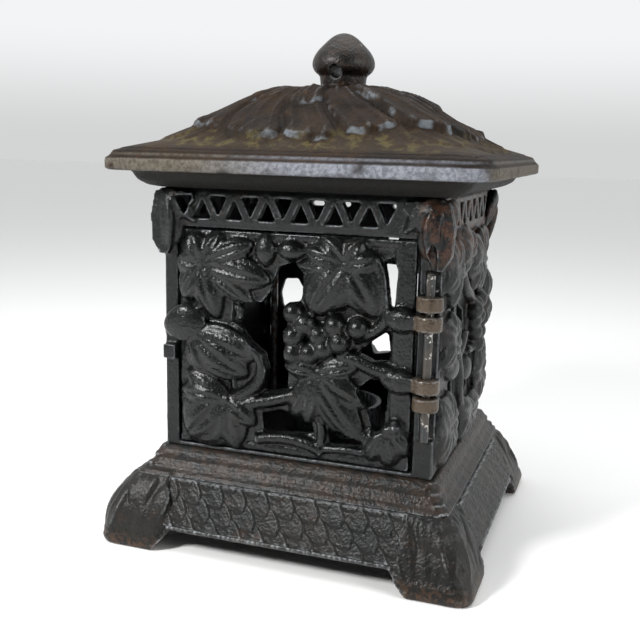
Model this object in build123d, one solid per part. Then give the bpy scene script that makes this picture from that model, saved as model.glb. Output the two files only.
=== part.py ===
from build123d import *
import math
import os

# Cast iron candle lantern with a hinged openwork door.
# Millimetres. Origin at the bottom centre, +Z up, the door faces -Y.

# ---- driving dimensions ---------------------------------------------------
BODY_X = 62.1            # half width of the wall box
BODY_Y = 57.5            # half depth of the wall box
WALL_BOTTOM = 43.0       # top of the plinth, where the walls stand
WALL_TOP = 160.0         # underside of the roof, where the walls end
WALL_THICKNESS = 4.2     # cast plate, without its relief
RELIEF = 3.2             # height of the leaves over the plate
BUD_RELIEF = 2.7
VINE_RELIEF = 2.2
GRAPE_PROUD = 0.7        # how far a grape's middle stands over the plate
CORNER_RELIEF = 3.0      # height of the leaves on the top corners
PLATE_OVERLAP = 1.0      # how deep a raised form starts in the plate
STEP_X_TO_Y = 4.8        # plinth and roof are this much shallower per side
FIT_GAP = 0.3            # gap between castings that are laid together

DOOR_LEFT = -55.0
DOOR_RIGHT = 52.0
DOOR_BOTTOM = 45.4
DOOR_TOP = 142.5
DOOR_THICKNESS = 3.8
DOORWAY_LEFT = -55.7
DOORWAY_RIGHT = 53.6
DOORWAY_BOTTOM = 44.9
DOORWAY_TOP = 143.3

PIN_X = 58.8             # hinge axis
PIN_Y = -60.6
PIN_RADIUS = 1.8
PIN_BOTTOM = 60.2
PIN_TOP = 130.2
KNUCKLE_RADIUS = 5.5
KNUCKLE_GROOVE = 5.9     # radius of the groove that the door knuckles turn in
RUNNING_CLEARANCE = 0.08
FRAME_KNUCKLES = ((73.8, 79.6), (115.0, 121.0))
DOOR_KNUCKLES = ((81.2, 87.4), (107.0, 113.2))
NICHE_HALF = 3.0
NICHE_DEPTH = 3.0

FRIEZE_BOTTOM = 147.0
FRIEZE_TOP = 157.0
FRIEZE_PITCH = 15.0
FRIEZE_HALF = 4.2        # half the base of a pierced triangle

FLOOR_TOP = 43.0
FLOOR_BOTTOM = 38.0
ARCH_HEIGHT = 10.0
ARCH_HALF_TOP_X = 50.0
ARCH_HALF_TOP_Y = 44.0
ARCH_SPLAY = 9.0
ARCH_BACK, ARCH_FRONT = -200.0, 60.0     # an arch goes through both opposite sides

ROD_X = 52.6             # tie rods in the four corners
ROD_Y = 48.0
ROD_RADIUS = 2.0
ROD_HOLE = 2.3
ROD_BOTTOM = 31.4
ROD_TOP = 168.0
ROD_BOSS = 5.4
ROD_BOSS_TOP = 180.0     # inside the roof's shell
NUT_RADIUS = 3.9
NUT_HEIGHT = 3.2
WASHER_RADIUS = 4.6
WASHER_HEIGHT = 0.9
LUG_BOTTOM = 151.0
LUG_TOP = 156.0

CUP_RADIUS = 23.0
CUP_WALL = 2.2
CUP_FLOOR = 2.6
CUP_HEIGHT = 13.0
CUP_SCREW = 2.4
CUP_SCREW_BOTTOM = 32.4
CUP_HEAD = 4.6
CUP_HEAD_DEPTH = 2.2
CUP_NUT = 4.4
CUP_NUT_HEIGHT = 3.0
SCREW_CLEARANCE = 0.2
SLOT_HALF = 0.6
SLOT_DEPTH = 1.0

CROWN_Z = 204.4
FINIAL_TOP = 230.0
FINIAL_SCREW = 3.0
FINIAL_SCREW_TOP = 207.5
FINIAL_HOLE = 2.75
FINIAL_HOLE_Z = 212.2
CROWN_BOSS = 8.5
CROWN_BOSS_BOTTOM = 194.0
CROWN_BOSS_TOP = 202.0
CROWN_HOLE = 3.2         # radius of the finial screw's hole through the crown
FINIAL_FOOT = 10.2       # radius of the finial where it stands on the crown
FINIAL_NECK = (11.0, 210.9)
FINIAL_BULB = ((14.4, 216.9), (12.2, 221.6), (9.2, 224.8), (5.6, 228.0))
FINIAL_WASHER = 7.0
FINIAL_WASHER_HEIGHT = 1.2
FINIAL_HEAD = 5.4
FINIAL_HEAD_HEIGHT = 4.0

THROUGH = 12.0           # how far a cutter reaches to both sides of a wall's face
DRILL_LOW, DRILL_HIGH = 30.0, 60.0       # heights of a drill through the plinth's floor
BORE_LOW, BORE_HIGH = 70.0, 125.0        # heights of the bore for the hinge pin
FRONT_FRIEZE = (-51.0, 39.0)             # middles of the first and last triangles
SIDE_FRIEZE = (-37.5, 37.5)
FRIEZE_SHORT = 1.0       # a triangle's tip stops this far short of the band's edge

STIFFENER_X = (DOORWAY_RIGHT, 57.4)      # rib behind the hinge post
STIFFENER_Y = (-53.4, -51.2)
STIFFENER_Z = (46.0, 150.0)
CATCH_U = (-61.6, -55.9)
CATCH_V = (84.0, 90.4)
CATCH_PROUD = 3.2
NICHES = ((PIN_BOTTOM - 0.6, 73.0), (121.6, PIN_TOP + 0.6))
GROOVE_END = 0.8         # gap between the groove's ends and the door knuckles
WEB_REACH = 4.6
TONGUE_MIDDLE = (-53.0, 100.0)
TONGUE_HALF_U, TONGUE_HALF_V = 9.6, 8.0
TONGUE_W = (0.5, 4.6)
TONGUE_ROOT_U = (-52.5, -46.0)
TONGUE_ROOT_V = (94.5, 105.0)
TONGUE_ROOT_W = (-2.0, 4.0)
ARM_LEFT = 47.0
ARM_PROUD = 2.6          # how far an arm stands in front of the hinge axis
ARM_ROOT_X = (44.5, 51.6)
ARM_ROOT_PROUD = 4.0
SIDE_GAP = 0.1           # between a side casting and the front and rear ones
LUG_HALF = 4.0

# Kerb of the plinth and lip and ledge of the roof: (half x, half y, corner).
KERB_OUTER = (57.6, 53.0, 3.0)
KERB_INNER = (54.8, 50.2, 2.0)
LIP_INNER = (55.4, 50.8, 2.0)
LEDGE_OUTER = (60.0, 55.4, 3.0)
KERB_HEIGHT = 2.4
LIP_DEPTH = 2.0
LEDGE_HEIGHT = 3.0

# Plinth outside and inside, bottom to top: (half x, height, corner).
PLINTH_OUTSIDE = [
    (84.6, 0.0, 7.0),
    (85.6, 3.0, 7.4),
    (84.6, 6.5, 7.4),
    (82.2, 10.0, 7.2),
    (72.6, 29.8, 6.0),
    (70.2, 33.0, 5.6),
    (68.6, 33.9, 5.4),
    (68.6, 34.9, 5.4),
    (67.6, 36.3, 5.2),
    (66.2, 37.6, 5.0),
    (66.6, 38.6, 5.0),
    (65.6, 40.9, 4.8),
    (63.4, FLOOR_TOP, 4.4),
]
PLINTH_INSIDE = [
    (80.8, -0.5, 5.0),
    (77.8, 10.0, 5.0),
    (68.2, 29.8, 4.0),
    (62.4, FLOOR_BOTTOM, 3.0),
]

# A foot, top to bottom: (middle x, middle y, height, side, corner).
FOOT = [
    (62.4, 57.6, 33.0, 19.0, 5.0),
    (66.4, 61.6, 20.0, 30.0, 8.0),
    (67.6, 62.8, 6.0, 35.6, 8.0),
    (67.4, 62.5, 0.0, 34.4, 7.6),
]

# Roof outside and inside, bottom to top: (half x, half y, height, corner).
ROOF_OUTSIDE = [
    (63.6, 59.0, WALL_TOP, 3.0),
    (68.6, 64.0, 161.0, 5.0),
    (72.6, 68.0, 163.2, 8.0),
    (75.0, 70.4, 167.0, 10.0),
    (83.4, 78.6, 167.2, 13.4),
    (84.2, 79.4, 168.0, 14.0),
    (84.2, 79.4, 172.0, 14.0),
    (83.6, 78.8, 172.6, 13.8),
    (82.4, 77.6, 172.8, 13.4),
    (81.8, 77.0, 175.0, 13.2),
    (81.0, 76.2, 175.6, 13.0),
    (66.0, 62.0, 180.2, 18.0),
    (60.0, 56.5, 183.2, 18.0),
    (54.0, 51.0, 186.4, 17.0),
    (47.0, 44.5, 190.4, 16.0),
    (40.0, 38.0, 194.9, 15.0),
    (33.0, 31.5, 198.9, 13.5),
    (26.0, 25.0, 201.8, 11.5),
    (18.0, 17.5, 203.6, 9.0),
    (11.5, 11.4, CROWN_Z, 7.0),
]
ROOF_INSIDE = [
    (57.0, 52.4, WALL_TOP - 0.5, 3.0),
    (58.0, 53.4, 163.0, 4.0),
    (69.0, 64.2, 168.0, 8.0),
    (70.0, 65.2, 171.4, 8.0),
    (60.0, 56.0, 177.0, 12.0),
    (47.0, 44.5, 184.5, 11.0),
    (34.0, 32.5, 193.0, 10.0),
    (20.0, 19.4, 198.4, 8.0),
    (11.0, 11.0, 199.6, 6.0),
]

# The leaf on a top corner: (distance inwards from the corner, height).
CORNER_LEAF = [
    (15.0, 158.0),
    (16.0, 155.0),
    (9.0, 147.0),
    (6.2, 144.0),
    (5.6, 137.0),
    (3.0, 131.0),
    (-1.0, 131.0),
    (-4.5, 137.0),
    (-5.2, 148.0),
    (-3.4, 157.0),
    (0.0, 159.6),
]


# ---- helpers --------------------------------------------------------------
def stack(levels):
    """A closed form through rounded rectangles: (half x, half y, z, corner)."""
    sections = [
        Pos(0, 0, z) * RectangleRounded(2 * hx, 2 * hy, corner)
        for hx, hy, z, corner in levels
    ]
    return loft(sections, ruled=True)


def square_stack(levels):
    """The same for (half x, z, corner), STEP_X_TO_Y shallower along Y."""
    return stack([(h, h - STEP_X_TO_Y, z, corner) for h, z, corner in levels])


def rim(outer, inner, low, high):
    """An upright ring between two rounded rectangles: (half x, half y, corner)."""
    solid = stack([(outer[0], outer[1], z, outer[2]) for z in (low, high)])
    room = stack([(inner[0], inner[1], z, inner[2]) for z in (low - 1, high + 1)])
    return solid - room


def rod(x, y, low, high, radius):
    """A vertical cylinder between two heights."""
    return Pos(x, y, (low + high) / 2) * Cylinder(radius, high - low)


def block(x, y, z):
    """A box from three (low, high) pairs."""
    size = Box(x[1] - x[0], y[1] - y[0], z[1] - z[0])
    return Pos(sum(x) / 2, sum(y) / 2, sum(z) / 2) * size


def corners():
    """The four signs of the corners, front left first."""
    return [(sx, sy) for sy in (-1, 1) for sx in (-1, 1)]


# A wall's own frame: u runs to the right as seen from outside, v is the
# height, w points outwards from the face of the plate.
FRONT = Plane((0, -BODY_Y, 0), x_dir=(1, 0, 0), z_dir=(0, -1, 0)).location
REAR = Plane((0, BODY_Y, 0), x_dir=(-1, 0, 0), z_dir=(0, 1, 0)).location
RIGHT = Plane((BODY_X, 0, 0), x_dir=(0, 1, 0), z_dir=(1, 0, 0)).location
LEFT = Plane((-BODY_X, 0, 0), x_dir=(0, -1, 0), z_dir=(-1, 0, 0)).location


def prism(wall, outline, low, high):
    """An outline of (u, v) points, thick from w = low to w = high."""
    face = make_face(Polyline(*outline, close=True))
    return wall * Pos(0, 0, low) * extrude(face, amount=high - low)


def slab(wall, u, v, low, high):
    """A rectangular plate on a wall."""
    outline = [(u[0], v[0]), (u[1], v[0]), (u[1], v[1]), (u[0], v[1])]
    return prism(wall, outline, low, high)


def star(centre, tips, notch):
    """A lobed leaf: each tip, then a notch pulled towards the centre."""
    outline = []
    for here, there in zip(tips, tips[1:] + tips[:1]):
        outline.append(here)
        middle = [(a + b) / 2 for a, b in zip(here, there)]
        outline.append(tuple(c + notch * (m - c) for c, m in zip(centre, middle)))
    return outline


def oval(centre, half_u, half_v, count=14):
    """A closed outline round a bud or a thumb tongue."""
    turns = [2 * math.pi * i / count for i in range(count)]
    return [(centre[0] + half_u * math.cos(t), centre[1] + half_v * math.sin(t)) for t in turns]


def vine(route, width):
    """A branch: a bar along a route with round joints at its points."""
    pieces = []
    for a, b in zip(route, route[1:]):
        run = math.dist(a, b)
        across = ((a[1] - b[1]) * width / 2 / run, (b[0] - a[0]) * width / 2 / run)
        outline = [
            (a[0] + across[0], a[1] + across[1]),
            (a[0] - across[0], a[1] - across[1]),
            (b[0] - across[0], b[1] - across[1]),
            (b[0] + across[0], b[1] + across[1]),
        ]
        pieces.append(flat(outline))
    for u, v in route[1:-1]:
        pieces.append(Pos(u, v) * Circle(width / 2))
    return pieces


def flat(outline):
    """The face inside an outline of (u, v) points."""
    return make_face(Polyline(*outline, close=True))


def layer(wall, faces, trim, holes, low, high):
    """Faces joined, trimmed and pierced as one flat, then made thick."""
    joined = (Sketch() + faces) & trim
    return wall * Pos(0, 0, low) * extrude(joined - holes, amount=high - low)


def dress(wall, thickness, design, outline):
    """An openwork casting: its plate, then leaves, buds, vines and grapes on it."""
    trim = flat(outline)
    holes = [flat(hole) for hole in design["openings"]]
    leaves = [flat(star(centre, tips, notch)) for centre, notch, tips in design["leaves"]]
    buds = [flat(oval(*bud)) for bud in design["buds"]]
    vines = []
    for width, route in design["vines"]:
        vines += vine(route, width)
    low = -PLATE_OVERLAP
    body = layer(wall, [trim], trim, holes, -thickness, 0)
    body = body + layer(wall, vines, trim, holes, low, VINE_RELIEF)
    body = body + layer(wall, buds, trim, holes, low, BUD_RELIEF)
    body = body + layer(wall, leaves, trim, holes, low, RELIEF)
    for u, v in design["grapes"]:
        body = body + wall * Pos(u, v, GRAPE_PROUD) * Sphere(design["grape"])
    return body


def frieze(wall, ends):
    """The row of pierced triangles between two down-pointing ones."""
    first, last = ends
    cuts = []
    steps = round((last - first) / FRIEZE_PITCH)
    for i in range(steps + 1):
        u = first + i * FRIEZE_PITCH
        down = [
            (u - FRIEZE_HALF, FRIEZE_TOP),
            (u, FRIEZE_BOTTOM + FRIEZE_SHORT),
            (u + FRIEZE_HALF, FRIEZE_TOP),
        ]
        cuts.append(prism(wall, down, -THROUGH, THROUGH))
        if i < steps:
            m = u + FRIEZE_PITCH / 2
            up = [
                (m - FRIEZE_HALF, FRIEZE_BOTTOM),
                (m + FRIEZE_HALF, FRIEZE_BOTTOM),
                (m, FRIEZE_TOP - FRIEZE_SHORT),
            ]
            cuts.append(prism(wall, up, -THROUGH, THROUGH))
    return cuts


def mirrored(design):
    """The same design with left and right changed over."""
    flip = lambda points: [(-u, v) for u, v in points]
    return {
        "leaves": [((-c[0], c[1]), n, flip(t)) for c, n, t in design["leaves"]],
        "buds": [((-c[0], c[1]), a, b) for c, a, b in design["buds"]],
        "vines": [(width, flip(route)) for width, route in design["vines"]],
        "grapes": flip(design["grapes"]),
        "grape": design["grape"],
        "openings": [flip(hole) for hole in design["openings"]],
    }


# ---- vine designs, as (u, v) on each wall ----------------------------------
DOOR_DESIGN = {
    "leaves": [
        ((-41, 127), 0.72, [(-19, 137), (-12, 124), (-20, 112), (-35, 105),
                            (-54, 114), (-53, 134), (-38, 141)]),
        ((23, 130), 0.75, [(4, 139), (3, 128), (8, 109), (24, 114),
                           (36, 110), (38, 125), (34, 140), (20, 141)]),
        ((-38, 91), 0.85, [(-53, 97), (-41, 103), (-28, 101), (-20, 92),
                           (-21, 82), (-32, 77.5), (-46, 79), (-54, 86)]),
        ((-33, 63), 0.80, [(-51, 79), (-38, 76), (-27, 71), (-18, 64),
                           (-17, 50), (-29, 46), (-42, 47), (-53, 49)]),
        ((11, 81), 0.72, [(-3, 87), (-1, 63), (9, 62), (20, 66),
                          (32, 56), (32, 74), (27, 90), (15, 91)]),
        ((42, 56), 0.80, [(34, 60), (34, 48), (50, 47), (51, 64), (42, 63)]),
    ],
    "buds": [((-13.5, 135), 4.6, 6.4), ((-1, 136), 7.5, 4.2)],
    "vines": [
        (7.0, [(-40, 101), (-28, 96), (-19, 90), (-16, 83), (-19, 75), (-28, 69)]),
        (7.0, [(-20, 66), (-9, 70), (1, 73)]),
        (5.0, [(36, 131), (40, 121), (41, 111), (36, 104), (27, 100)]),
        (6.0, [(22, 93), (32, 88), (43, 86)]),
        (5.0, [(12, 63), (14, 56), (11, 49)]),
        (5.0, [(-18, 50), (2, 51.5), (14, 49.5), (32, 52)]),
        (8.0, [(47.8, 141), (47.8, 47)]),
        (4.0, [(-53, 100), (-53, 115)]),
        (4.0, [(-30, 140.5), (50, 140.5)]),
    ],
    "grape": 4.2,
    "grapes": [
        (0.5, 109), (5, 107.5), (1.5, 98.5), (11.5, 100), (17.5, 105), (20.5, 98),
        (24, 108), (28.5, 105), (7.5, 92.5), (0.5, 92), (14, 93), (8.5, 104),
    ],
    "openings": [
        [(-29, 112), (-30, 103), (-25, 100), (-20, 94), (-14, 90), (-12, 83),
         (-13.5, 73), (-3, 75), (-3, 82), (-4.5, 85), (-2.5, 90), (-3, 96),
         (-4, 103), (-4, 113), (2, 114), (3.5, 120), (3, 126), (-1, 131),
         (-8, 128), (-12, 117), (-16, 112)],
        [(38.5, 134), (42.5, 135), (44.3, 130), (43.4, 114), (41.8, 114), (40, 127)],
        [(34, 99.5), (41.5, 105), (42.7, 103), (42, 92), (35, 91.5), (28, 94.5)],
        [(29, 79), (34, 83.5), (39, 83.5), (42, 81), (40.5, 62), (36, 60), (33, 70)],
        [(-15, 63), (-6, 65.5), (8, 61.5), (9.5, 56.5), (-8, 55), (-14, 54.5)],
        [(16, 60), (22, 60), (30, 57), (30.5, 53.5), (17, 52.5)],
        [(-45, 107.5), (-41, 108.5), (-38.5, 105), (-43, 101.5)],
        [(-31, 76.5), (-27.5, 77), (-27.5, 72.5), (-30, 71.5)],
    ],
}

SIDE_DESIGN = {
    "leaves": [
        ((-38, 130), 0.72, [(-52, 142), (-51, 122), (-40, 113), (-28, 116),
                            (-24, 128), (-28, 142), (-40, 144)]),
        ((-12, 134), 0.80, [(-27, 143), (-4, 144), (2, 136), (-6, 129), (-28, 130)]),
        ((20, 128), 0.75, [(2, 140), (0, 124), (10, 113), (30, 112),
                           (40, 124), (36, 142), (20, 143)]),
        ((-38, 99), 0.80, [(-51, 108), (-52, 90), (-40, 86), (-26, 92), (-26, 106), (-38, 112)]),
        ((-36, 60), 0.78, [(-52, 76), (-52, 50), (-36, 45), (-20, 47), (-19, 62), (-36, 77)]),
        ((10, 55), 0.80, [(-9, 60), (-8, 46), (12, 45), (30, 47), (32, 58), (12, 62)]),
        ((38, 68), 0.78, [(28, 86), (24, 70), (36, 52), (52, 56), (52, 76), (44, 88)]),
        ((46, 105), 0.82, [(42, 122), (38, 108), (42, 92), (52, 92), (52, 120)]),
    ],
    "buds": [((-30, 85), 10.5, 5.5), ((3, 78), 9.0, 6.5)],
    "vines": [
        (6.0, [(-16, 126), (-8, 117), (6, 112), (14, 108)]),
        (6.0, [(-20, 90), (-13, 82), (-13, 70), (-4, 61)]),
        (6.0, [(-2, 100), (-8, 92), (-19, 88)]),
        (5.5, [(30, 88), (18, 84), (8, 86)]),
        (5.0, [(-52, 46), (52, 46)]),
        (4.5, [(-51.2, 144), (-51.2, 46)]),
        (4.5, [(51.2, 144), (51.2, 46)]),
        (4.0, [(-52, 144.2), (52, 144.2)]),
    ],
    "grape": 4.2,
    "grapes": [
        (17, 106), (24, 108), (31, 105), (14, 99), (21, 100.5), (28, 98.5),
        (18, 93), (25, 92), (10, 105), (34, 98), (22, 86.5),
    ],
    "openings": [
        [(-30, 114), (-21, 115), (-20, 108), (-18, 98), (-20, 95), (-24, 104)],
        [(-15, 112), (-9, 109), (0, 106), (3, 98), (-3, 97), (-10, 98), (-15, 102)],
        [(-7, 72), (4, 69), (16, 72), (20, 66), (12, 63.5), (0, 64.5)],
        [(2, 92), (8, 97), (11, 93), (6, 87.5)],
        [(-19, 78), (-17.5, 66), (-26, 72), (-28, 78)],
        [(32, 119), (36, 117), (37, 109), (33, 110)],
        [(-7, 124), (-1.5, 121.5), (2.5, 116), (-4, 118)],
    ],
}

LEFT_DESIGN = mirrored(SIDE_DESIGN)
LEFT_DESIGN["leaves"][5] = ((-22, 53), 0.80, [(-32, 47), (-31, 58), (-22, 62), (-15, 56), (-16, 47)])
LEFT_DESIGN["leaves"].append(((4, 53), 0.80, [(-3, 47), (-2, 59), (6, 61), (12, 55), (10, 46)]))
LEFT_DESIGN["grapes"] = [grape for grape in LEFT_DESIGN["grapes"] if grape not in ((-14, 99), (-18, 93))]
LEFT_DESIGN["openings"] += [
    [(-19, 98), (-9, 99.5), (-6.5, 93), (-9, 89.5), (-17, 88)],
    [(-13, 51), (-5, 51), (-4.5, 58), (-11, 59)],
    [(-52, 89.5), (-47.5, 90), (-47.5, 95), (-52, 95)],
    [(-52, 74.5), (-46.5, 75), (-46.5, 79), (-52, 79)],
]

REAR_DESIGN = {
    "leaves": [
        ((-34, 126), 0.74, [(-54, 138), (-50, 114), (-34, 108), (-18, 114),
                            (-14, 130), (-26, 142), (-42, 142)]),
        ((30, 124), 0.74, [(12, 138), (18, 108), (34, 106), (50, 112), (54, 134), (32, 142)]),
        ((-36, 72), 0.76, [(-54, 88), (-52, 58), (-40, 48), (-22, 50), (-18, 72), (-30, 90)]),
        ((34, 66), 0.76, [(18, 82), (16, 56), (30, 46), (50, 48), (54, 72), (42, 86)]),
        ((-2, 60), 0.80, [(-13, 70), (-12, 50), (2, 46), (12, 52), (10, 70)]),
    ],
    "buds": [((0, 134), 8.0, 7.0)],
    "vines": [
        (6.0, [(-22, 122), (-10, 122), (2, 118), (18, 120)]),
        (6.0, [(-36, 91), (-26, 88), (-20, 80), (-17, 68)]),
        (6.0, [(14, 96), (26, 93), (34, 90)]),
        (5.0, [(18, 80), (14, 88), (14, 96)]),
        (6.0, [(-59, 46), (59, 46)]),
        (5.0, [(-59, 143.5), (59, 143.5)]),
        (6.0, [(-58.5, 143), (-58.5, 46)]),
        (6.0, [(58.5, 143), (58.5, 46)]),
    ],
    "grape": 4.2,
    "grapes": [
        (-2, 110), (4, 106), (10, 110), (1, 101), (8, 99), (-2, 94), (4, 92),
        (11, 92), (2, 85), (9, 85),
    ],
    "openings": [
        [(37.5, 91), (49.5, 90), (51, 98), (48.5, 106), (41, 106.5), (37, 100)],
        [(-50, 107), (-38, 104), (-31, 103), (-31, 94.5), (-48, 94.5)],
        [(-27, 114), (-19, 117.5), (-9, 118), (-7, 108), (-9, 97), (-16, 94), (-27, 100)],
        [(15.5, 112), (19, 114), (22, 104), (17, 99.5), (14.5, 104)],
        [(-13.5, 70), (-12, 80), (-4, 81), (-2.5, 74), (-4, 68)],
        [(4, 78.5), (13, 80), (16, 72), (12, 71), (5, 71)],
        [(-16, 134), (-10, 136), (-10, 127), (-14, 125.5)],
        [(22, 88.5), (31, 86.5), (36, 84), (26, 81)],
    ],
}


# ---- castings --------------------------------------------------------------
def foot(sx, sy):
    """One splayed corner foot."""
    return loft([
        Pos(sx * x, sy * y, z) * RectangleRounded(side, side, corner)
        for x, y, z, side, corner in FOOT
    ], ruled=True)


def arch(wall, half):
    """What is open under two opposite sides of the plinth, between the feet."""
    outline = [
        (-half - ARCH_SPLAY, -1),
        (-half, ARCH_HEIGHT),
        (half, ARCH_HEIGHT),
        (half + ARCH_SPLAY, -1),
    ]
    return prism(wall, outline, ARCH_BACK, ARCH_FRONT)


def base_plinth():
    """Stepped cap, sloping skirt, four splayed corner feet, hollow inside."""
    kerb = rim(KERB_OUTER, KERB_INNER, FLOOR_TOP - 1, FLOOR_TOP + KERB_HEIGHT)
    feet = [foot(sx, sy) for sx, sy in corners()]
    body = square_stack(PLINTH_OUTSIDE) + feet + kerb - square_stack(PLINTH_INSIDE)
    body = body - [arch(FRONT, ARCH_HALF_TOP_X), arch(RIGHT, ARCH_HALF_TOP_Y)]
    holes = [rod(sx * ROD_X, sy * ROD_Y, DRILL_LOW, DRILL_HIGH, ROD_HOLE) for sx, sy in corners()]
    holes.append(rod(0, 0, DRILL_LOW, DRILL_HIGH, CUP_SCREW + FIT_GAP))
    return body - holes


def corner_leaf(wall, side):
    """The leaf on a top corner of a front or rear casting."""
    outline = [(side * (BODY_X - inwards), height) for inwards, height in CORNER_LEAF]
    return prism(wall, outline, -PLATE_OVERLAP, CORNER_RELIEF)


def front_frame():
    """Posts, sill and frieze round the doorway, with two hinge knuckles."""
    plate = slab(FRONT, (-BODY_X, BODY_X), (WALL_BOTTOM, WALL_TOP), -WALL_THICKNESS, 0)
    doorway_u = (DOORWAY_LEFT, DOORWAY_RIGHT)
    doorway = slab(FRONT, doorway_u, (DOORWAY_BOTTOM, DOORWAY_TOP), -THROUGH, THROUGH)
    frame = plate - doorway + block(STIFFENER_X, STIFFENER_Y, STIFFENER_Z)
    frame = frame - frieze(FRONT, FRONT_FRIEZE)
    frame = frame + [corner_leaf(FRONT, side) for side in (-1, 1)]
    catch = slab(FRONT, CATCH_U, CATCH_V, -PLATE_OVERLAP, CATCH_PROUD)
    niche_u = (PIN_X - NICHE_HALF, PIN_X + NICHE_HALF)
    niches = [slab(FRONT, niche_u, heights, -NICHE_DEPTH, THROUGH) for heights in NICHES]
    groove_low = DOOR_KNUCKLES[0][0] - GROOVE_END
    groove_high = DOOR_KNUCKLES[1][1] + GROOVE_END
    groove = rod(PIN_X, PIN_Y, groove_low, groove_high, KNUCKLE_GROOVE)
    frame = frame + catch - niches - groove
    for low, high in FRAME_KNUCKLES:
        knuckle = rod(PIN_X, PIN_Y, low, high, KNUCKLE_RADIUS)
        web = block((PIN_X - WEB_REACH, BODY_X), (PIN_Y, -BODY_Y + 1), (low, high))
        frame = frame + knuckle + web
    return frame - rod(PIN_X, PIN_Y, BORE_LOW, BORE_HIGH, PIN_RADIUS)


def door():
    """Openwork door with two arms, two knuckles and a thumb tongue."""
    outline = [
        (DOOR_LEFT, DOOR_BOTTOM),
        (DOOR_RIGHT, DOOR_BOTTOM),
        (DOOR_RIGHT, DOOR_TOP),
        (DOOR_LEFT, DOOR_TOP),
    ]
    leaf = dress(FRONT, DOOR_THICKNESS, DOOR_DESIGN, outline)
    tongue = prism(FRONT, oval(TONGUE_MIDDLE, TONGUE_HALF_U, TONGUE_HALF_V), *TONGUE_W)
    leaf = leaf + tongue + slab(FRONT, TONGUE_ROOT_U, TONGUE_ROOT_V, *TONGUE_ROOT_W)
    for low, high in DOOR_KNUCKLES:
        arm = block((ARM_LEFT, PIN_X), (PIN_Y - ARM_PROUD, -BODY_Y - 0.5), (low, high))
        root = block(ARM_ROOT_X, (-BODY_Y - ARM_ROOT_PROUD, -BODY_Y + 1), (low, high))
        knuckle = rod(PIN_X, PIN_Y, low, high, KNUCKLE_RADIUS)
        leaf = leaf + arm + root + knuckle
    return leaf - rod(PIN_X, PIN_Y, BORE_LOW, BORE_HIGH, PIN_RADIUS + RUNNING_CLEARANCE)


def hinge_pin():
    """A plain iron wire through the four knuckles."""
    wire = rod(PIN_X, PIN_Y, PIN_BOTTOM, PIN_TOP, PIN_RADIUS)
    return chamfer(wire.edges().filter_by(GeomType.CIRCLE), 0.5)


def wall_outline(half):
    """The outline of a side or rear casting."""
    return [(-half, WALL_BOTTOM), (half, WALL_BOTTOM), (half, WALL_TOP), (-half, WALL_TOP)]


def side_panel(wall, sign, design):
    """A side casting with its lugs for the tie rods."""
    half = BODY_Y - WALL_THICKNESS - SIDE_GAP
    panel = dress(wall, WALL_THICKNESS, design, wall_outline(half)) - frieze(wall, SIDE_FRIEZE)
    room = block((-BODY_X, BODY_X), (-half, half), (LUG_BOTTOM, LUG_TOP))
    for sy in (-1, 1):
        ear = rod(sign * ROD_X, sy * ROD_Y, LUG_BOTTOM, LUG_TOP, ROD_BOSS)
        near, far = sorted((sign * ROD_X, sign * (BODY_X - WALL_THICKNESS + 1)))
        beside = sorted((sy * (ROD_Y - LUG_HALF), sy * (ROD_Y + LUG_HALF)))
        back = block((near, far), beside, (LUG_BOTTOM, LUG_TOP))
        panel = panel + ((ear + back) & room)
        panel = panel - rod(sign * ROD_X, sy * ROD_Y, LUG_BOTTOM - 1, LUG_TOP + 1, ROD_HOLE)
    return panel


def rear_panel():
    """The rear casting, the full width of the body."""
    panel = dress(REAR, WALL_THICKNESS, REAR_DESIGN, wall_outline(BODY_X)) - frieze(REAR, SIDE_FRIEZE)
    return panel + [corner_leaf(REAR, side) for side in (-1, 1)]


def roof():
    """Overhanging rim on a rounded cove, low dome above, hollow below."""
    outer = stack(ROOF_OUTSIDE)
    lip = rim(KERB_OUTER, LIP_INNER, WALL_TOP - LIP_DEPTH, WALL_TOP + 0.5)
    ledge = rim(LEDGE_OUTER, LIP_INNER, WALL_TOP + 0.2, WALL_TOP + LEDGE_HEIGHT)
    bosses = [rod(sx * ROD_X, sy * ROD_Y, WALL_TOP - LIP_DEPTH, ROD_BOSS_TOP, ROD_BOSS) for sx, sy in corners()]
    bosses.append(rod(0, 0, CROWN_BOSS_BOTTOM, CROWN_BOSS_TOP, CROWN_BOSS))
    lip_x, lip_y, lip_corner = KERB_OUTER
    room = stack([(lip_x, lip_y, z, lip_corner) for z in (WALL_TOP - LIP_DEPTH, WALL_TOP + 1)])
    inside = [(outer + room) & boss for boss in bosses]
    body = outer - stack(ROOF_INSIDE) + ledge + lip + inside
    rods = [rod(sx * ROD_X, sy * ROD_Y, LUG_BOTTOM, ROD_TOP, ROD_RADIUS) for sx, sy in corners()]
    return body - rods - rod(0, 0, CROWN_BOSS_BOTTOM - 1, CROWN_Z + 1, CROWN_HOLE)


def finial():
    """A bud on a short foot, with a cross hole for a hanging ring."""
    outline = Polyline((0, CROWN_Z), (FINIAL_FOOT, CROWN_Z), FINIAL_NECK)
    bulb = Spline(FINIAL_NECK, *FINIAL_BULB, (0, FINIAL_TOP))
    closing = Line((0, FINIAL_TOP), (0, CROWN_Z))
    face = make_face(Plane.XZ * (outline + bulb + closing))
    bud = revolve(face, axis=Axis.Z)
    ring_hole = Pos(0, 0, FINIAL_HOLE_Z) * Rot(90, 0, 0) * Cylinder(FINIAL_HOLE, 4 * FINIAL_FOOT)
    return bud - ring_hole - rod(0, 0, CROWN_Z - 1, FINIAL_SCREW_TOP, FINIAL_SCREW)


def hexagon_nut(x, y, low, radius, height, hole):
    """A plain hexagon nut."""
    nut = Pos(x, y, low) * extrude(RegularPolygon(radius, 6), amount=height)
    return nut - rod(x, y, low - 1, low + height + 1, hole)


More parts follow.
